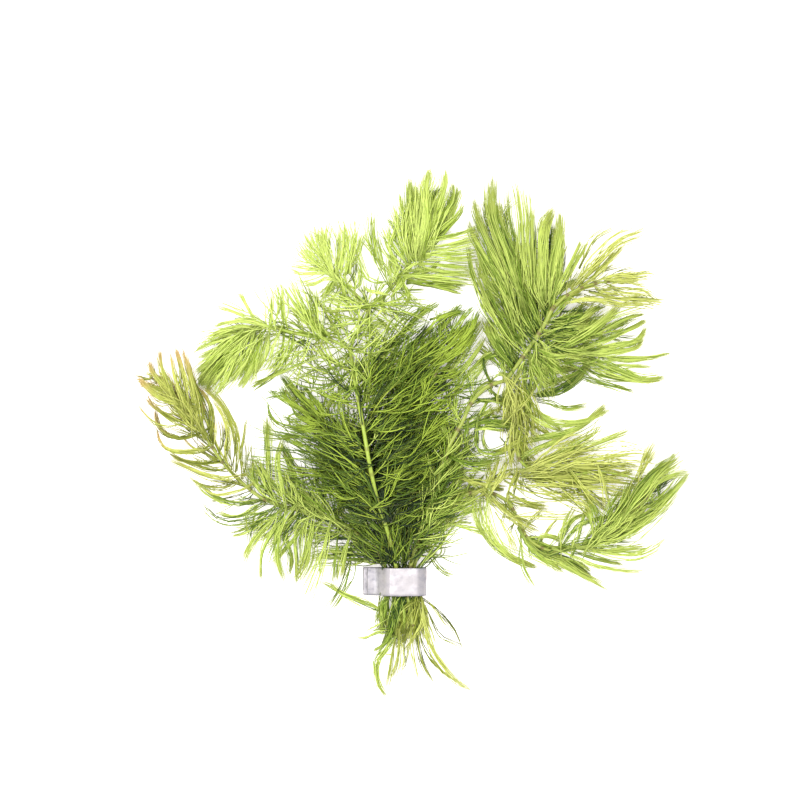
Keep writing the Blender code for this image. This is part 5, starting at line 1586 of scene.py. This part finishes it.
def strip_middle():
    """The middle line of the folded band in the XZ plane, as in the plain strip: under, round and over."""
    half = STRIP_THICKNESS / 2
    bend = (LOOP_HEIGHT - STRIP_THICKNESS) / 2
    bend_x = LOOP_RIGHT - LOOP_HEIGHT / 2
    pressed = STRIP_THICKNESS + PRESSED_GAP + half
    top = LOOP_HEIGHT - half
    middle = [(UNDER_END, half)]
    for turn in np.linspace(-math.pi / 2, math.pi / 2, ARC_STEPS + 1):
        middle.append((bend_x + bend * math.cos(turn), half + bend + bend * math.sin(turn)))
    corners = ((bend_x, top), (SLOPE_TOP, top), (SLOPE_FOOT, pressed), (OVER_END, pressed))
    for before, corner, after in zip(corners, corners[1:], corners[2:]):
        here = Vector(corner)
        into = (Vector(before) - here).normalized() * FOLD_RADIUS
        away = (Vector(after) - here).normalized() * FOLD_RADIUS
        for share in np.linspace(0, 1, FOLD_STEPS + 1):
            middle.append(tuple(here + into * (1 - share) ** 2 + away * share ** 2))
    middle.append(corners[-1])
    return [(x, 0, z) for x, z in middle]


def strip_section(radius):
    """The band's section: across the strip, and out from its middle, with rounded edges."""
    wide = STRIP_WIDTH / 2
    thick = STRIP_THICKNESS / 2
    flat = np.linspace(radius - wide, wide - radius, SECTION_STEPS)
    bend = np.radians(np.linspace(90, 0, 5)[1:])
    corner = np.stack((wide - radius + radius * np.cos(bend), thick - radius + radius * np.sin(bend)), -1)
    over = np.concatenate((np.stack((flat, np.full(len(flat), thick)), -1), corner))
    under = over[::-1] * (1, -1)
    left = corner * (-1, 1)
    return np.concatenate((over, under, left[::-1] * (1, -1), left[:-1]))


def make_strip(settings):
    """Makes the lead strip: a finely divided band with rounded edges and shallow dents."""
    line = Route(strip_middle())
    rings = round(line.length / (settings.ring_spacing / MM))
    distance = np.linspace(0, line.length, rings)
    centres, way = line.at(distance), line.way(distance, reach=0.4)
    out = np.cross(way, (0.0, 1.0, 0.0))
    section = strip_section(settings.bevel / MM)
    thickness, width = np.ones(rings), np.ones(rings)
    thickness[[0, -1]] = END_THICKNESS
    width[[0, -1]] = END_WIDTH
    across, outward = section.T
    corners = centres[:, None] + (across * width[:, None])[..., None] * (0, 1, 0)
    corners = corners + (outward * thickness[:, None])[..., None] * out[:, None]
    noise.seed_set(settings.seed)
    for corner, centre in zip(corners, centres):
        waver = noise.noise(Vector((centre[0] * 0.9, centre[2] * 0.9, 7.0)))
        for point in corner:
            place = Vector((centre[0] * 0.22, point[1] * 0.25, centre[2] * 0.22))
            point += (settings.dents / MM) * np.array(noise.noise_vector(place)) * (1, 0.8, 1)
            point[1] *= 1 + 0.006 * waver
    corners[..., 2] = np.maximum(corners[..., 2], 0.02)
    piece = add_mesh("lead_strip", corners.reshape(-1, 3), tube_faces(1, rings, len(section)))
    hand_over(piece, "lead_strip", strip_finish(settings))


class HORNWORT_OT_stage(bpy.types.Operator):
    """Makes the pale floor, the soft light and the camera that looks straight down"""

    bl_idname = "hornwort.stage"
    bl_label = "Studio Stage"
    bl_options = {"REGISTER", "UNDO"}

    def execute(self, context):
        settings = context.scene.hornwort_stage
        half = settings.floor_size / 2 / MM
        corners = np.array(((-half, -half, 0), (half, -half, 0), (half, half, 0), (-half, half, 0)))
        floor = add_mesh("floor", corners, [(0, 1, 2, 3)])
        floor.data.materials.append(floor_finish(settings))
        centre = Vector(PICTURE_CENTRE) * MM
        self.add_dome(context, settings)
        self.add_lamp(context, settings, centre)
        self.add_camera(context, settings, centre)
        context.scene.view_settings.view_transform = "Standard"
        return {"FINISHED"}

    def add_dome(self, context, settings):
        world = bpy.data.worlds.new("soft_dome")
        world.use_nodes = True
        background = world.node_tree.nodes["Background"]
        background.inputs["Color"].default_value = DOME_COLOUR
        background.inputs["Strength"].default_value = settings.dome_strength
        context.scene.world = world

    def add_lamp(self, context, settings, centre):
        light = bpy.data.lights.new("overhead_lamp", "AREA")
        light.shape = "DISK"
        light.size = LAMP_SIZE
        light.energy = settings.lamp_power
        lamp = bpy.data.objects.new("overhead_lamp", light)
        lamp.location = centre + Vector(LAMP_OFFSET)
        lamp.rotation_euler = (centre - lamp.location).to_track_quat("-Z", "Y").to_euler()
        context.scene.collection.objects.link(lamp)

    def add_camera(self, context, settings, centre):
        lens = bpy.data.cameras.new("overhead_camera")
        lens.sensor_width = SENSOR_WIDTH
        lens.lens = lens.sensor_width * settings.camera_height / settings.view_width
        lens.clip_end = VIEW_LIMIT
        camera = bpy.data.objects.new("overhead_camera", lens)
        camera.location = centre + Vector((0, 0, settings.camera_height))
        context.scene.collection.objects.link(camera)
        context.scene.camera = camera


class HORNWORT_OT_stems(bpy.types.Operator):
    """Makes the stems and their branches, each a slim tube with a swelling at every whorl"""

    bl_idname = "hornwort.stems"
    bl_label = "Stems and Branches"
    bl_options = {"REGISTER", "UNDO"}

    def execute(self, context):
        settings = context.scene.hornwort_stems
        grown = stem_finish("stem_skin", settings.green, settings.pale, settings.scar)
        young = stem_finish("shoot_skin", settings.shoot, settings.shoot_pale, settings.shoot_scar)
        for name in STEMS:
            make_stem(name, settings, young if name in SHOOTS else grown)
        return {"FINISHED"}


class HORNWORT_OT_strip(bpy.types.Operator):
    """Makes the folded lead strip that holds the cuttings together"""

    bl_idname = "hornwort.strip"
    bl_label = "Lead Strip"
    bl_options = {"REGISTER", "UNDO"}

    def execute(self, context):
        make_strip(context.scene.hornwort_strip)
        return {"FINISHED"}


class LeafOperator:
    """What the operators that grow leaves share."""

    bl_options = {"REGISTER", "UNDO"}
    plumes = ()

    def execute(self, context):
        settings = context.scene.hornwort_leaves
        for name in self.plumes:
            plume = PLUMES[name]
            finish = f"{plume.look}_leaf_{plume.blush:g}"
            material = bpy.data.materials.get(finish)
            if material is None:
                colours = (Vector(getattr(settings, f"{plume.look}_{part}")) for part in LEAF_PARTS)
                deep, body, glow, tip = colours
                material = leaf_finish(finish, deep, body, glow, glow.lerp(tip, plume.blush))
            grow_plume(name, settings, material)
        return {"FINISHED"}


class HORNWORT_OT_left_leaves(LeafOperator, bpy.types.Operator):
    """Grows the leaves of the left cutting"""

    bl_idname = "hornwort.left_leaves"
    bl_label = "Left Cutting's Leaves"
    plumes = ("leaves_left_root", "leaves_left_lower", "leaves_left_bend", "leaves_left_tip")


class HORNWORT_OT_inner_left_leaves(LeafOperator, bpy.types.Operator):
    """Grows the leaves of the inner left cutting"""

    bl_idname = "hornwort.inner_left_leaves"
    bl_label = "Inner Left Cutting's Leaves"
    plumes = ("leaves_inner_left", "leaves_inner_left_tip")


class HORNWORT_OT_centre_leaves(LeafOperator, bpy.types.Operator):
    """Grows the leaves of the centre cutting with its drooping and its top branches"""

    bl_idname = "hornwort.centre_leaves"
    bl_label = "Centre Cutting's Leaves"
    plumes = ("leaves_centre_low", "leaves_centre_high", "leaves_drooping", "leaves_drooping_tip",
              "leaves_fork", "leaves_top_left", "leaves_top_middle", "leaves_top_middle_tip")


class HORNWORT_OT_inner_right_leaves(LeafOperator, bpy.types.Operator):
    """Grows the leaves of the inner right cutting"""

    bl_idname = "hornwort.inner_right_leaves"
    bl_label = "Inner Right Cutting's Leaves"
    plumes = ("leaves_inner_right_low", "leaves_inner_right_high", "leaves_inner_right_tip")


class HORNWORT_OT_right_leaves(LeafOperator, bpy.types.Operator):
    """Grows the leaves of the right cutting with its fans and its side branch"""

    bl_idname = "hornwort.right_leaves"
    bl_label = "Right Cutting's Leaves"
    plumes = ("leaves_right_low", "leaves_right_curtain", "leaves_right_fork", "leaves_right_middle",
              "leaves_right_fan", "leaves_right_fan_small", "leaves_right_tip", "leaves_right_side")


class HORNWORT_OT_hanging_leaves(LeafOperator, bpy.types.Operator):
    """Grows the leaves of the right cutting's hanging branch"""

    bl_idname = "hornwort.hanging_leaves"
    bl_label = "Hanging Branch's Leaves"
    plumes = ("leaves_hanging", "leaves_hanging_reach", "leaves_hanging_band")


class HORNWORT_OT_lower_right_leaves(LeafOperator, bpy.types.Operator):
    """Grows the leaves of the lower right cutting"""

    bl_idname = "hornwort.lower_right_leaves"
    bl_label = "Lower Right Cutting's Leaves"
    plumes = ("leaves_lower_right_root", "leaves_lower_right_bend", "leaves_lower_right_arc",
              "leaves_lower_right_turn", "leaves_lower_right_tip")


class HORNWORT_OT_tail_leaves(LeafOperator, bpy.types.Operator):
    """Grows the leaves that trail below the strip"""

    bl_idname = "hornwort.tail_leaves"
    bl_label = "Tail Leaves"
    plumes = ("leaves_tail_left", "leaves_tail_right")


class HORNWORT_PT_panel(bpy.types.Panel):
    """Lists the pieces of the bunch"""

    bl_idname = "HORNWORT_PT_panel"
    bl_label = "Hornwort"
    bl_space_type = "VIEW_3D"
    bl_region_type = "UI"
    bl_category = "Hornwort"

    def draw(self, context):
        for operator in OPERATORS:
            self.layout.operator(operator.bl_idname)


SETTINGS = {
    "hornwort_leaves": HornwortLeafSettings,
    "hornwort_stems": HornwortStemSettings,
    "hornwort_strip": HornwortStripSettings,
    "hornwort_stage": HornwortStageSettings,
}
OPERATORS = (
    HORNWORT_OT_stage, HORNWORT_OT_strip, HORNWORT_OT_stems, HORNWORT_OT_left_leaves,
    HORNWORT_OT_inner_left_leaves, HORNWORT_OT_centre_leaves, HORNWORT_OT_inner_right_leaves,
    HORNWORT_OT_right_leaves, HORNWORT_OT_hanging_leaves, HORNWORT_OT_lower_right_leaves,
    HORNWORT_OT_tail_leaves)


def register():
    for name, group in SETTINGS.items():
        bpy.utils.register_class(group)
        setattr(bpy.types.Scene, name, PointerProperty(type=group))
    for operator in OPERATORS:
        bpy.utils.register_class(operator)
    bpy.utils.register_class(HORNWORT_PT_panel)


def unregister():
    bpy.utils.unregister_class(HORNWORT_PT_panel)
    for operator in reversed(OPERATORS):
        bpy.utils.unregister_class(operator)
    for name, group in SETTINGS.items():
        delattr(bpy.types.Scene, name)
        bpy.utils.unregister_class(group)


def main():
    register()
    bpy.ops.hornwort.stage()
    bpy.ops.hornwort.strip()
    bpy.ops.hornwort.stems()
    bpy.ops.hornwort.left_leaves()
    bpy.ops.hornwort.inner_left_leaves()
    bpy.ops.hornwort.centre_leaves()
    bpy.ops.hornwort.inner_right_leaves()
    bpy.ops.hornwort.right_leaves()
    bpy.ops.hornwort.hanging_leaves()
    bpy.ops.hornwort.lower_right_leaves()
    bpy.ops.hornwort.tail_leaves()


if __name__ == "__main__":
    main()
